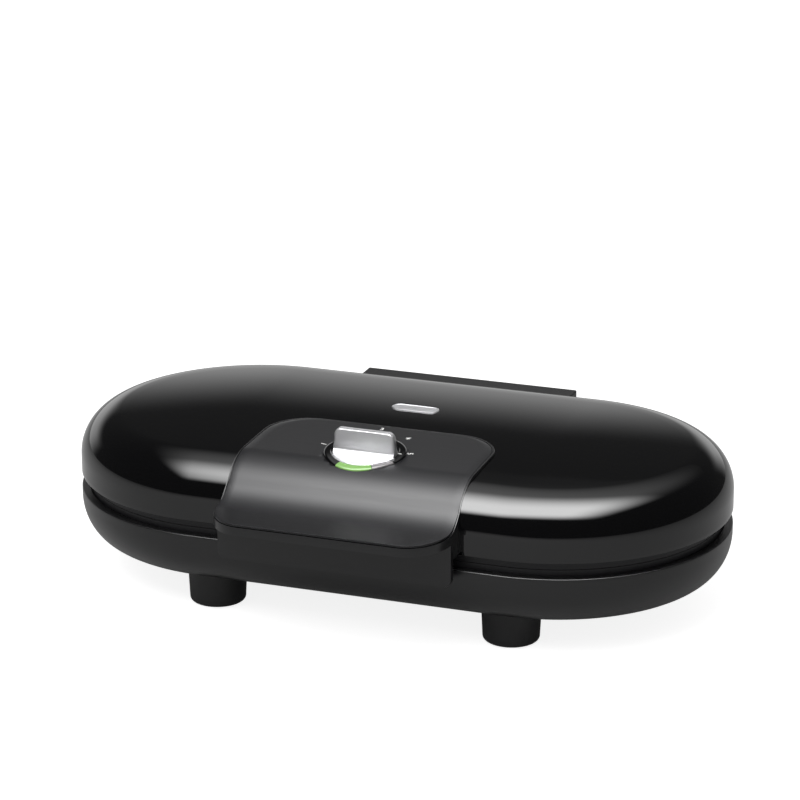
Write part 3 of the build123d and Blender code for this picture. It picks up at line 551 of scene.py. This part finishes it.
def finish(name):
    """A finish by name, made when it is first asked for."""
    if name in bpy.data.materials:
        return bpy.data.materials[name]
    f = bpy.context.scene.waffle_finishes
    makers = {
        "polished_moulded_abs": (polished_abs, f.gloss_black),
        "satin_moulded_pbt": (grained_moulding, f.satin_black, 0.32, 0.5, 0.02),
        "matt_moulded_pbt": (grained_moulding, f.matt_black, 0.5, 0.6, 0.04),
        "black_anodised_aluminium": (anodised_sheet, f.sheet_black),
        "brushed_aluminium": (brushed_metal, f.knob_silver, 0.42, 20.0, 0.02, KNOB_PLACE),
        "stamped_nickel": (brushed_metal, "#B9B9BB", 0.5, 15.0, 0.03),
        "fluoropolymer_sprayed_casting": (nonstick_casting,),
        "green_moulded_acrylic": (tinted_acrylic, f.ready_green, 0.25),
        "clear_moulded_acrylic": (tinted_acrylic, f.lens_grey, 0.35),
        "zinc_plated_steel": (plated_metal, "#B4B6B8", 0.32, 2.0),
        "rolled_aluminium": (plated_metal, "#C8C9CA", 0.34, 12.0),
        "annealed_steel_tube": (plated_metal, "#6E665C", 0.42, 8.0),
        "pressed_steatite": (plain_solid, "#D9D4C6", 0.55, 1.6, 1.5),
        "moulded_rubber": (plain_solid, "#161616", 0.7, 1.52, 0.8),
        "extruded_silicone": (plain_solid, "#C4C2BC", 0.5, 1.43, 3.0),
        "pad_printed_ink": (plain_solid, "#F2F2F0", 0.45, 1.5, 0.4, 0.03),
    }
    maker, *values = makers[name]
    return maker(name, *values)


# Finishes of the carried parts, by the first of these words that a node's name holds
WORD_FINISHES = (
    ("screws", "zinc_plated_steel"),
    ("plate", "fluoropolymer_sprayed_casting"),
    ("ready_lens", "green_moulded_acrylic"),
    ("power_lens", "clear_moulded_acrylic"),
    ("lamps", "clear_moulded_acrylic"),
    ("gland", "moulded_rubber"),
    ("wiring", "extruded_silicone"),
    ("heater", "annealed_steel_tube"),
    ("reflector", "rolled_aluminium"),
    ("terminal", "pressed_steatite"),
    ("thermostat_body", "pressed_steatite"),
    ("foot_pad", "moulded_rubber"),
    ("foot_", "matt_moulded_pbt"),
    ("", "zinc_plated_steel"),
)


class WAFFLE_OT_carried_parts(bpy.types.Operator):
    """Gives every CAD node its own finish"""

    bl_idname = "waffle.carried_parts"
    bl_label = "Finish the carried parts"

    def execute(self, context):
        for name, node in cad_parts.items():
            chosen = next(material for word, material in WORD_FINISHES if word in name)
            node.data.materials.clear()
            node.data.materials.append(finish(chosen))
        return {"FINISHED"}


def crown_profile(sizes, inset, steps):
    """The lid's outer or inner line from the crown's middle down to the upright wall."""
    shoulder, wall_top = sizes.lid_shoulder / MM, (sizes.lid_edge + sizes.lid_side) / MM
    turn = math.atan2(shoulder, shoulder * math.tan(sizes.crown_slope))
    knee = END_RADIUS - shoulder * (1 - math.cos(turn))
    crown = knee / math.sin(sizes.crown_slope)
    knee_z = wall_top + shoulder * math.sin(turn)
    top = knee_z + crown * (1 - math.cos(sizes.crown_slope))
    radii = [knee * k / steps for k in range(steps)]
    line = [(r, top - crown + math.sqrt(crown**2 - r**2) - inset) for r in radii]
    centre = (END_RADIUS - shoulder, wall_top)
    return line + arc(centre, shoulder - inset, math.degrees(turn), 0.0, 2 * steps)


class WAFFLE_OT_lid(bpy.types.Operator):
    """Moulds the domed lid"""

    bl_idname = "waffle.lid"
    bl_label = "Lid moulding"

    def execute(self, context):
        sizes = context.scene.waffle_sizes
        edge, opening, wall = sizes.lid_edge / MM, sizes.plate_opening / MM, sizes.wall / MM
        rounding = sizes.edge_round / MM / 2
        profile = crown_profile(sizes, 0.0, 14)
        profile += [(END_RADIUS, edge + sizes.lid_side / MM * k / 4) for k in (3, 2, 1)]
        profile += arc((END_RADIUS - rounding, edge + rounding), rounding, 0.0, -90.0, 3)
        profile += [(opening + rounding, edge), (opening, edge + rounding), (opening, edge + wall)]
        profile += [(END_RADIUS - wall, edge + wall)]
        profile += reversed(crown_profile(sizes, wall, 6))
        shape, gloss = stadium_body(profile, sizes.arc_steps), finish("polished_moulded_abs")
        piece = mesh_piece("lid_moulding", shape, gloss, "lid", 40)
        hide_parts("lid_shell")
        return {"FINISHED"}


class WAFFLE_OT_base(bpy.types.Operator):
    """Moulds the base with its hinge knuckles"""

    bl_idname = "waffle.base"
    bl_label = "Base moulding"

    def execute(self, context):
        sizes = context.scene.waffle_sizes
        ledge, side, wall = sizes.ledge / MM, sizes.base_side / MM, sizes.wall / MM
        shoulder, opening = sizes.base_shoulder / MM, sizes.plate_opening / MM
        rounding, chamfer = sizes.edge_round / MM, 0.3
        rise = ledge - side - BASE_BOTTOM
        flat = END_RADIUS - shoulder
        profile = [(flat * k / 3, BASE_BOTTOM) for k in range(3)]
        profile += arc((flat, ledge - side), (shoulder, rise), -90.0, 0.0, 20)
        profile += [(END_RADIUS, ledge - side / 2)]
        profile += arc((END_RADIUS - rounding, ledge - rounding), rounding, 0.0, 90.0, 4)
        profile += [(opening + chamfer, ledge), (opening, ledge - chamfer), (opening, ledge - wall)]
        profile += arc((flat, ledge - side), (shoulder - wall, rise - wall), 0.0, -90.0, 8)
        profile += [(0.0, BASE_BOTTOM + wall)]
        satin = finish("satin_moulded_pbt")
        shape = stadium_body(profile, sizes.arc_steps)
        piece = mesh_piece("base_moulding", shape, satin, "base", 40)
        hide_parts("base_shell")
        for name, sign in (("left", -1), ("right", 1)):
            self.knuckle(name, sign, ledge, satin)
        return {"FINISHED"}

    def knuckle(self, name, sign, ledge, material):
        """An eye for a hinge pin, on a web that leans out of the base's back."""
        inner, outer, overlap = 60.0, 70.5, 5.0
        eye, root, lean, web_drop = 8.0, 12.0, 37.0, 2.5
        wall = CENTRE_Y + END_RADIUS
        outline = [(wall - overlap, ledge), (wall, ledge)]
        outline += arc((PIN_Y, PIN_Z), eye, 180.0, -90.0 - lean, 32)
        outline += [(wall + eye * math.sin(math.radians(lean)) / 2, ledge - web_drop), (wall, ledge - root)]
        outline += [(wall - overlap, ledge - root)]
        shape = bar(outline, *sorted((sign * inner, sign * outer)))
        piece = mesh_piece("hinge_knuckle_" + name, shape, material, "base", 30)
        round_edges(piece, 0.6, 2)


class WAFFLE_OT_handle(bpy.types.Operator):
    """Makes the handle's moulding, its skirt and its bent metal cover"""

    bl_idname = "waffle.handle"
    bl_label = "Handle"

    def execute(self, context):
        columns = 28
        self.cover(columns)
        self.moulding(columns, context.scene.waffle_sizes.lid_edge / MM)
        self.skirt()
        return {"FINISHED"}

    def cover(self, columns):
        sheet, hole, reach = 1.2, RING_OUTER - 0.8, 6.0
        rings = ((-0.5, 0.0), (-0.15, 0.12), (0.0, 0.45), (0.0, sheet))
        loops = [handle_loop(0, grown, at_depth(depth), columns) for grown, depth in rings]
        top = handle_top(0, rings[0][0], at_depth(0.0), columns)
        under = handle_top(0, 0.0, at_depth(sheet), columns)
        shape = merged(top, loft(loops), under)
        piece = mesh_piece(
            "handle_cover", shape, finish("black_anodised_aluminium"), "lid", 32
        )
        drill = [(0.0, -reach), (hole, -reach), (hole, reach), (0.0, reach)]
        cut_away(piece, turned(drill, 96, on_knob))
        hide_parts("handle_panel")

    def moulding(self, columns, lid_edge):
        lip_low = handle_z(LIP_Y, 0.0) - LIP_HEIGHT
        wall_y = CENTRE_Y - END_RADIUS
        rim_drop, drop_start, drop_run = 1.7, 4.0, 16.0
        lip_back, inner_high, inner_run, sheet_gap = 3.2, 96.0, 12.0, 3.0

        def sunk(y):
            """How far the rim lies below the sheet, growing in front of the body's wall."""
            return rim_drop * eased((wall_y + drop_start - y) / drop_run)

        def floor(y):
            """Height of the underside: lip, lid's edge, and up inside the lid."""
            if y <= SKIRT_Y + lip_back:
                return lip_low
            if y <= wall_y:
                return lid_edge
            inside = min(1.0, (y - wall_y) / inner_run)
            return min(lid_edge + (inner_high - lid_edge) * math.sqrt(inside), handle_z(y, sheet_gap))

        rings = [
            (1, 0.0, floor),
            (1, 0.0, at_depth(lambda y: sunk(y) + 0.6)),
            (1, -0.08, at_depth(lambda y: sunk(y) + 0.2)),
            (0.85, 0.0, at_depth(sunk)),
            (0, 0.28, at_depth(sunk)),
            (0, 0.2, at_depth(lambda y: sunk(y) + 0.12)),
            (0, 0.2, at_depth(lambda y: max(1.3, sunk(y) + 0.2))),
        ]
        loops = [handle_loop(share, grown, level, columns) for share, grown, level in rings]
        inner = handle_top(0, 0.2, rings[-1][2], columns)
        shape = merged(inner, loft(loops), handle_top(1, 0.0, floor, columns))
        piece = mesh_piece("handle_moulding", shape, finish("satin_moulded_pbt"), "lid", 35)
        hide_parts("handle_housing")

    def skirt(self):
        top = handle_z(LIP_Y, 0.0) - LIP_HEIGHT + 1.0
        corner = 5.0

        def loop(inset, y):
            half, low, radius = SKIRT_HALF - inset, SKIRT_LOW + inset, corner - inset
            turn = arc((half - radius, low + radius), radius, 0.0, -90.0, 10)
            points = [(x, y, z) for x, z in turn] + [(-x, y, z) for x, z in reversed(turn)]
            return [(half, y, top)] + points + [(-half, y, top)]

        front = [(0.7, SKIRT_Y), (0.2, SKIRT_Y + 0.2), (0.0, SKIRT_Y + 0.7)]
        back = [(0.0, SKIRT_BACK - 0.7), (0.7, SKIRT_BACK)]
        shape = loft([loop(inset, y) for inset, y in front + back], caps=True)
        mesh_piece("handle_skirt", shape, finish("satin_moulded_pbt"), "lid", 35)


class WAFFLE_OT_control(bpy.types.Operator):
    """Makes the knob, its dial ring, the two lenses, the index mark and the printed numerals"""

    bl_idname = "waffle.control"
    bl_label = "Control"

    def execute(self, context):
        self.knob(context.scene.waffle_sizes.knob_radius / MM)
        self.dial_ring()
        self.lenses()
        self.index_tick()
        self.numerals(context.scene.waffle_sizes.numeral_height)
        return {"FINISHED"}

    def knob(self, radius):
        """A disc with a blade across it, cut into upright sections along the blade."""
        low, top = -1.1, 15.6
        half, foot_half, cove, rim, edge = 2.6, 3.15, 3.6, 0.6, 0.5
        corner_width, corner_height, end_round = 5.0, 7.0, 2.2
        loops, steps = [], 120
        for k in range(steps + 1):
            x = -radius * math.cos(math.pi * k / steps)
            reach = math.sqrt(max(0.0, radius**2 - x**2))
            over = min(1.0, max(0.0, abs(x) - (radius - corner_width)) / corner_width)
            crest = top - corner_height + corner_height * math.sqrt(1.0 - over**2)
            past = min(1.0, max(0.0, abs(x) - (radius - end_round)) / end_round)
            thin = math.sqrt(1.0 - past**2)
            flank = [(reach, low), (reach, -rim)]
            flank += [(reach - rim + y, -rim + z) for y, z in arc((0, 0), rim, 22.5, 90.0, 3)]
            flank += [(reach - rim - (reach - rim - foot_half - cove) * s, 0.0) for s in (0.33, 0.66)]
            flank += [(foot_half + cove + y, cove + z) for y, z in arc((0, 0), cove, -90.0, -180.0, 10)]
            blade = [((half + foot_half) / 2, (crest + cove) / 2)]
            blade += [(half - edge + y, crest - edge + z) for y, z in arc((0, 0), edge, 0.0, 90.0, 4)]
            flank = [(min(y, reach), z) for y, z in flank] + [(min(y * thin, reach), z) for y, z in blade]
            section = [(x, -y, z) for y, z in flank] + [(x, y, z) for y, z in reversed(flank)]
            loops.append([on_knob(*point) for point in section])
        piece = mesh_piece(
            "control_knob", loft(loops), finish("brushed_aluminium"), "knob", 38
        )
        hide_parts("knob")

    def ring_points(self, angle, section):
        """A section of (radius, height over the bent sheet) put round the knob's axis at an angle."""
        a = math.radians(angle)
        points = []
        for r, rise in section:
            x, y = r * math.cos(a), r * math.sin(a)
            points.append(on_knob(x, y, rise + sheet_rise(y)))
        return points

    def dial_ring(self):
        lens_rise, count = 42.0, 144

        def section(height):
            return [
                (RING_INNER, -1.2), (RING_OUTER - 1.0, -1.2), (RING_OUTER - 0.9, -0.1), (RING_OUTER, -0.1),
                (RING_OUTER, height * 0.35), (RING_OUTER - 0.3, height * 0.72),
                (RING_OUTER - 0.9, height * 0.95), (RING_OUTER - 1.8, height), (RING_INNER + 1.2, height),
                (RING_INNER + 0.4, height * 0.93), (RING_INNER, height - 0.5),
            ]

        first, last = LENS_SPANS["ready"][0], LENS_SPANS["power"][1]
        loops = []
        for angle in sorted({-180.0 + 360.0 * k / count for k in range(count)} | {first, last}):
            away = max(first - angle, angle - last, 0.0)
            away = min(away, 360.0 - last + first - away) if away else 0.0
            heights = [RING_LOW + (RING_HIGH - RING_LOW) * eased(away / lens_rise)]
            if first < angle < last:
                heights = [RING_SUNK]
            if angle == first:
                heights.append(RING_SUNK)
            if angle == last:
                heights.insert(0, RING_SUNK)
            loops += [self.ring_points(angle, section(height)) for height in heights]
        shape = loft(loops, closed_sections=True)
        piece = mesh_piece("dial_ring", shape, finish("polished_moulded_abs"), "lid", 40)
        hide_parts("knob_bezel")

    def lenses(self):
        """Two curved windows that take the ring's place at its front."""
        seat, gap, step = RING_SUNK + 0.02, 0.4, 2.5
        section = [
            (RING_INNER + 0.1, seat), (RING_OUTER + 0.05, 0.03), (RING_OUTER + 0.05, 0.35),
            (RING_OUTER - 0.25, 0.75), (RING_OUTER - 1.0, 1.05), (RING_INNER + 2.4, 1.1),
            (RING_INNER + 1.0, 1.0), (RING_INNER + 0.3, 0.8), (RING_INNER + 0.1, 0.55),
        ]
        for name, material, slot in (
            ("ready", "green_moulded_acrylic", "green_lens"),
            ("power", "clear_moulded_acrylic", "clear_lens"),
        ):
            first, last = LENS_SPANS[name]
            steps = max(4, round((last - first) / step))
            turn = (last - first - 2 * gap) / steps
            loops = [self.ring_points(first + gap + turn * k, section) for k in range(steps + 1)]
            piece = mesh_piece(name + "_window", loft(loops, caps=True), finish(material), "lid", 40)
            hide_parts(name + "_lens")

    def index_tick(self):
        """A printed mark on the ring where the pointer rests."""
        inner, outer, half = RING_INNER + 0.5, RING_INNER + 2.9, 0.35
        corners = ((inner, -half), (outer, -half), (outer, half), (inner, half))
        top = RING_HIGH + 0.03
        loops = [[on_knob(x, y, height) for x, y in corners] for height in (top - 0.2, top)]
        mesh_piece("dial_index", loft(loops, caps=True), finish("pad_printed_ink"), "lid")

    def numerals(self, height):
        size_for_height, boldness, film = 1.4, 0.13 * MM, 0.03 * MM
        places = {
            "1": (-30.9, 6.8), "2": (-23.0, 28.5), "3": (-4.8, 44.5), "4": (17.2, 33.6), "5": (27.9, 7.5),
        }
        for digit, (x, y) in places.items():
            text = bpy.data.curves.new("numeral_" + digit, "FONT")
            text.body = digit
            text.size = height * size_for_height
            text.extrude = film
            text.offset = boldness
            text.align_x = "CENTER"
            text.align_y = "CENTER"
            text.resolution_u = 6
            drawn = add_object("drawn", text)
            mesh = bpy.data.meshes.new_from_object(drawn)
            bpy.data.objects.remove(drawn)
            turn = Matrix.Rotation(math.atan2(y, x) - math.pi / 2, 4, "Z")
            mesh.transform(knob_place(MM) @ Matrix.Translation((x * MM, y * MM, film)) @ turn)
            mesh.materials.clear()
            mesh.materials.append(finish("pad_printed_ink"))
            piece = add_object("dial_numeral_" + digit, mesh)
            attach(piece, "lid")


class WAFFLE_OT_badge(bpy.types.Operator):
    """Makes the blank badge on the lid"""

    bl_idname = "waffle.badge"
    bl_label = "Badge"

    def execute(self, context):
        sizes = context.scene.waffle_sizes
        line = crown_profile(sizes, 0.0, 40)
        length, width, place_y = 33.0, 12.0, 25.0 + CENTRE_Y
        half, outer = (length - width) / 2, width / 2

        def lid_z(y):
            r = abs(y - CENTRE_Y)
            for (r0, z0), (r1, z1) in zip(line, line[1:]):
                if r0 <= r <= r1:
                    return z0 + (z1 - z0) * (r - r0) / max(1e-9, r1 - r0)
            return line[0][1]

        def loop(radius, rise):
            right = arc((half, place_y), radius, -90.0, 90.0, 24)
            left = arc((-half, place_y), radius, 90.0, 270.0, 24)
            return [(x, y, lid_z(y) + rise) for x, y in right + left]

        rings = [(outer, -1.0), (outer, 0.35), (outer - 0.12, 0.6), (outer - 0.35, 0.72)]
        rings += [(outer - 0.9, 0.72), (outer - 1.15, 0.5), (outer * 0.5, 0.55), (0.0, 0.58)]
        verts, faces = loft([loop(r, z) for r, z in rings])
        faces.append(tuple(range(len(loop(outer, 0)))))
        piece = mesh_piece("lid_badge", (verts, faces), finish("stamped_nickel"), "lid", 30)
        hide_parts("badge")
        return {"FINISHED"}


class WAFFLE_OT_hinge(bpy.types.Operator):
    """Makes the hinge bar with its two ears"""

    bl_idname = "waffle.hinge"
    bl_label = "Hinge bar"

    def execute(self, context):
        matt = finish("matt_moulded_pbt")
        half, depth, wall = 77.0, 45.0, 2.5
        ear, eye, ear_rise, inset, side_gap = 71.0, 8.0, 9.5, 0.3, 0.15
        back, top = HINGE_HIGH.y / MM, HINGE_HIGH.z / MM
        front, ear_low = back - depth, PIN_Z + ear_rise
        outline = [
            (front, top), (back, top), (back, PIN_Z), (back - wall, PIN_Z),
            (back - wall, top - wall), (front, top - wall),
        ]
        cover = mesh_piece("hinge_bar", bar(outline, -half, half), matt, "lid", 30)
        round_edges(cover, 1.0, 3)
        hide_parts("hinge_housing")
        for name, sign in (("left", -1), ("right", 1)):
            outline = [(front, top - inset), (back - inset, top - inset), (back - inset, PIN_Z)]
            outline += arc((PIN_Y, PIN_Z), eye, -30.0, -180.0, 16)
            outline += [(PIN_Y - eye, ear_low), (front, ear_low)]
            shape = bar(outline, *sorted((sign * ear, sign * (half - side_gap))))
            piece = mesh_piece("hinge_ear_" + name, shape, matt, "lid", 30)
            round_edges(piece, 0.5, 2)
        return {"FINISHED"}


# Faint light that the dark parts of the room send into reflections, and the colour of all the light
ROOM_LEVEL = 0.047
WHITE = (1, 1, 1, 1)


class WAFFLE_OT_stage(bpy.types.Operator):
    """Sets the camera, the pale floor, the soft lights and the room"""

    bl_idname = "waffle.stage"
    bl_label = "Studio"

    def execute(self, context):
        studio = context.scene.waffle_studio
        self.camera(studio)
        self.floor()
        self.lights(studio)
        self.room(studio)
        context.scene.view_settings.view_transform = "Standard"
        return {"FINISHED"}

    def camera(self, studio):
        data = bpy.data.cameras.new("studio_camera")
        data.lens = studio.focal
        data.sensor_width = 36.0
        camera = add_object("studio_camera", data)
        a, e = studio.azimuth, studio.elevation
        forward = Vector((-math.sin(a) * math.cos(e), math.cos(a) * math.cos(e), -math.sin(e)))
        camera.location = studio.place
        self.look_along(camera, forward)
        bpy.context.scene.camera = camera

    def look_along(self, looker, direction):
        looker.rotation_mode = "QUATERNION"
        looker.rotation_quaternion = direction.to_track_quat("-Z", "Y")

    def rays(self, tree):
        """Whether the camera looks, and whether a mirror or a clear part does."""
        path = add_node(tree, "LightPath").outputs
        mirrored, through = path["Is Glossy Ray"], path["Is Transmission Ray"]
        return path["Is Camera Ray"], add_node(tree, "Math", {0: mirrored, 1: through}, operation="MAXIMUM")

    def floor(self):
        # Painted board: a glow of its own brings it to white for the camera and adds little in reflections,
        # and its lit colour keeps the object's soft shadow
        material, tree = new_material("matt_painted_board")[:2]
        mirror_glow, camera_glow, reach = 0.05, 0.80, 9000.0
        diffuse = add_node(tree, "BsdfDiffuse", {"Color": linear("#BEBEBE")})
        camera_ray, clear_ray = self.rays(tree)
        seen = add_node(tree, "Math", {0: camera_ray, 1: clear_ray}, operation="MAXIMUM")
        level = add_node(
            tree, "Math", {0: camera_ray, 1: camera_glow, 2: mirror_glow}, operation="MULTIPLY_ADD"
        )
        level = add_node(tree, "Math", {0: seen, 1: level}, operation="MULTIPLY")
        glow = add_node(tree, "Emission", {"Color": WHITE, "Strength": level})
        both = add_node(tree, "AddShader", {0: diffuse, 1: glow})
        add_node(tree, "OutputMaterial", {"Surface": both})
        verts = [(-reach, -reach, 0), (reach, -reach, 0), (reach, reach, 0), (-reach, reach, 0)]
        board = mesh_piece("studio_floor", (verts, [(0, 1, 2, 3)]), material)

    def lights(self, studio):
        key = bpy.data.lights.new("soft_key", "AREA")
        key.shape = "RECTANGLE"
        key.size = 1.3
        key.size_y = 1.1
        key.energy = studio.key_power
        lamp = add_object("soft_key", key)
        lamp.location = (-0.15, CENTRE_Y * MM - 0.75, 1.35)
        aim = Vector((0, CENTRE_Y * MM, 0.05))
        self.look_along(lamp, aim - lamp.location)
        lamp.visible_glossy = False
        self.softbox(studio)

    def softbox(self, studio):
        # Lamp cloth that only reflections see: bright in front, fading to the back and to both sides, with
        # a long faint tail behind
        material, tree, metres = new_material("softbox_cloth")
        middle, lean, side_shift = CENTRE_Y * MM, -0.3, 0.05
        place = add_node(tree, "SeparateXYZ", {"Vector": metres}).outputs
        along = add_node(tree, "Math", {0: place["X"], 1: lean, 2: place["Y"]}, operation="MULTIPLY_ADD")
        across = add_node(tree, "Math", {0: place["X"], 1: side_shift}, operation="SUBTRACT")
        across = add_node(tree, "Math", {0: across}, operation="ABSOLUTE")
        fades = {}
        for name, value, start, end, before, after in (
            ("bright", along, middle - 0.34, middle + 0.14, studio.softbox_level, 0.0),
            ("edge", along, middle - 0.81, middle - 0.50, 0.0, 1.0),
            ("side", across, 0.26, 0.66, 1.0, 0.0),
        ):
            fades[name] = add_node(
                tree, "MapRange",
                {"Value": value, "From Min": start, "From Max": end, "To Min": before, "To Max": after},
                interpolation_type="SMOOTHSTEP",
            )
        tail = add_node(
            tree, "MapRange",
            {"Value": place["Y"], "From Min": middle - 0.1, "From Max": middle + 1.1, "To Min": 1.25,
             "To Max": 0.3},
        )
        tail = add_node(tree, "Math", {0: tail, 1: 3.0}, operation="POWER")
        both = add_node(tree, "Math", {0: fades["bright"], 1: tail}, operation="ADD")
        both = add_node(tree, "Math", {0: both, 1: fades["edge"]}, operation="MULTIPLY")
        level = add_node(tree, "Math", {0: both, 1: fades["side"], 2: ROOM_LEVEL}, operation="MULTIPLY_ADD")
        glow = add_node(tree, "Emission", {"Color": WHITE, "Strength": level})
        add_node(tree, "OutputMaterial", {"Surface": glow})
        height, front, rear, half = 712.0, CENTRE_Y - 900.0, CENTRE_Y + 1150.0, 900.0
        verts = [(-half, front, height), (half, front, height), (half, rear, height), (-half, rear, height)]
        cloth = mesh_piece("studio_softbox", (verts, [(0, 3, 2, 1)]), material)
        cloth.visible_camera = False
        cloth.visible_diffuse = False
        cloth.visible_shadow = False
        cloth.visible_transmission = False

    def room(self, studio):
        # Room: white to the camera, an even fill for matt surfaces, and for reflections a screen low down
        # behind the object's left, with the rest dark
        world = bpy.data.worlds.new("studio_room")
        world.use_nodes = True
        bpy.context.scene.world = world
        tree = world.node_tree
        tree.nodes.clear()
        outward = add_node(tree, "TexCoord").outputs["Generated"]
        outward = add_node(tree, "SeparateXYZ", {"Vector": outward}).outputs
        fades = {}
        for name, value, start, end, before, after in (
            ("low_down", outward["Z"], 0.15, 0.33, 1.0, ROOM_LEVEL),
            ("behind", outward["Y"], 0.25, 0.6, 0.0, 1.0),
            ("left_of", outward["X"], 0.0, 0.36, 1.0, 0.0),
        ):
            fades[name] = add_node(
                tree, "MapRange",
                {"Value": value, "From Min": start, "From Max": end, "To Min": before, "To Max": after},
                interpolation_type="SMOOTHSTEP",
            )
        screen = add_node(tree, "Math", {0: fades["behind"], 1: fades["left_of"]}, operation="MULTIPLY")
        mirrored = add_node(
            tree, "MapRange", {"Value": screen, "To Min": ROOM_LEVEL, "To Max": fades["low_down"]}
        )
        camera_ray, clear_ray = self.rays(tree)
        lit = add_node(
            tree, "MapRange", {"Value": clear_ray, "To Min": studio.fill_level, "To Max": mirrored}
        )
        level = add_node(tree, "MapRange", {"Value": camera_ray, "To Min": lit, "To Max": 1.0})
        glow = add_node(tree, "Background", {"Color": WHITE, "Strength": level})
        add_node(tree, "OutputWorld", {"Surface": glow})


OPERATORS = (
    WAFFLE_OT_stage,
    WAFFLE_OT_carried_parts,
    WAFFLE_OT_base,
    WAFFLE_OT_lid,
    WAFFLE_OT_handle,
    WAFFLE_OT_control,
    WAFFLE_OT_badge,
    WAFFLE_OT_hinge,
)
SETTINGS = (
    ("waffle_sizes", WaffleSizes), ("waffle_finishes", WaffleFinishes), ("waffle_studio", WaffleStudio)
)


class WAFFLE_PT_panel(bpy.types.Panel):
    bl_label = "Double Waffle Maker"
    bl_idname = "WAFFLE_PT_panel"
    bl_space_type = "VIEW_3D"
    bl_region_type = "UI"
    bl_category = "Waffle Maker"

    def draw(self, context):
        for operator in OPERATORS:
            self.layout.operator(operator.bl_idname)
        for name, group in SETTINGS:
            box = self.layout.box()
            for field in group.__annotations__:
                box.prop(getattr(context.scene, name), field)


def register():
    for name, group in SETTINGS:
        bpy.utils.register_class(group)
        setattr(bpy.types.Scene, name, PointerProperty(type=group))
    for item in (*OPERATORS, WAFFLE_PT_panel):
        bpy.utils.register_class(item)


def unregister():
    for item in (WAFFLE_PT_panel, *reversed(OPERATORS)):
        bpy.utils.unregister_class(item)
    for name, group in reversed(SETTINGS):
        delattr(bpy.types.Scene, name)
        bpy.utils.unregister_class(group)


def main():
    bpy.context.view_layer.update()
    register()
    for operator in OPERATORS:
        group, call = operator.bl_idname.split(".")
        getattr(getattr(bpy.ops, group), call)()


if __name__ == "__main__":
    main()
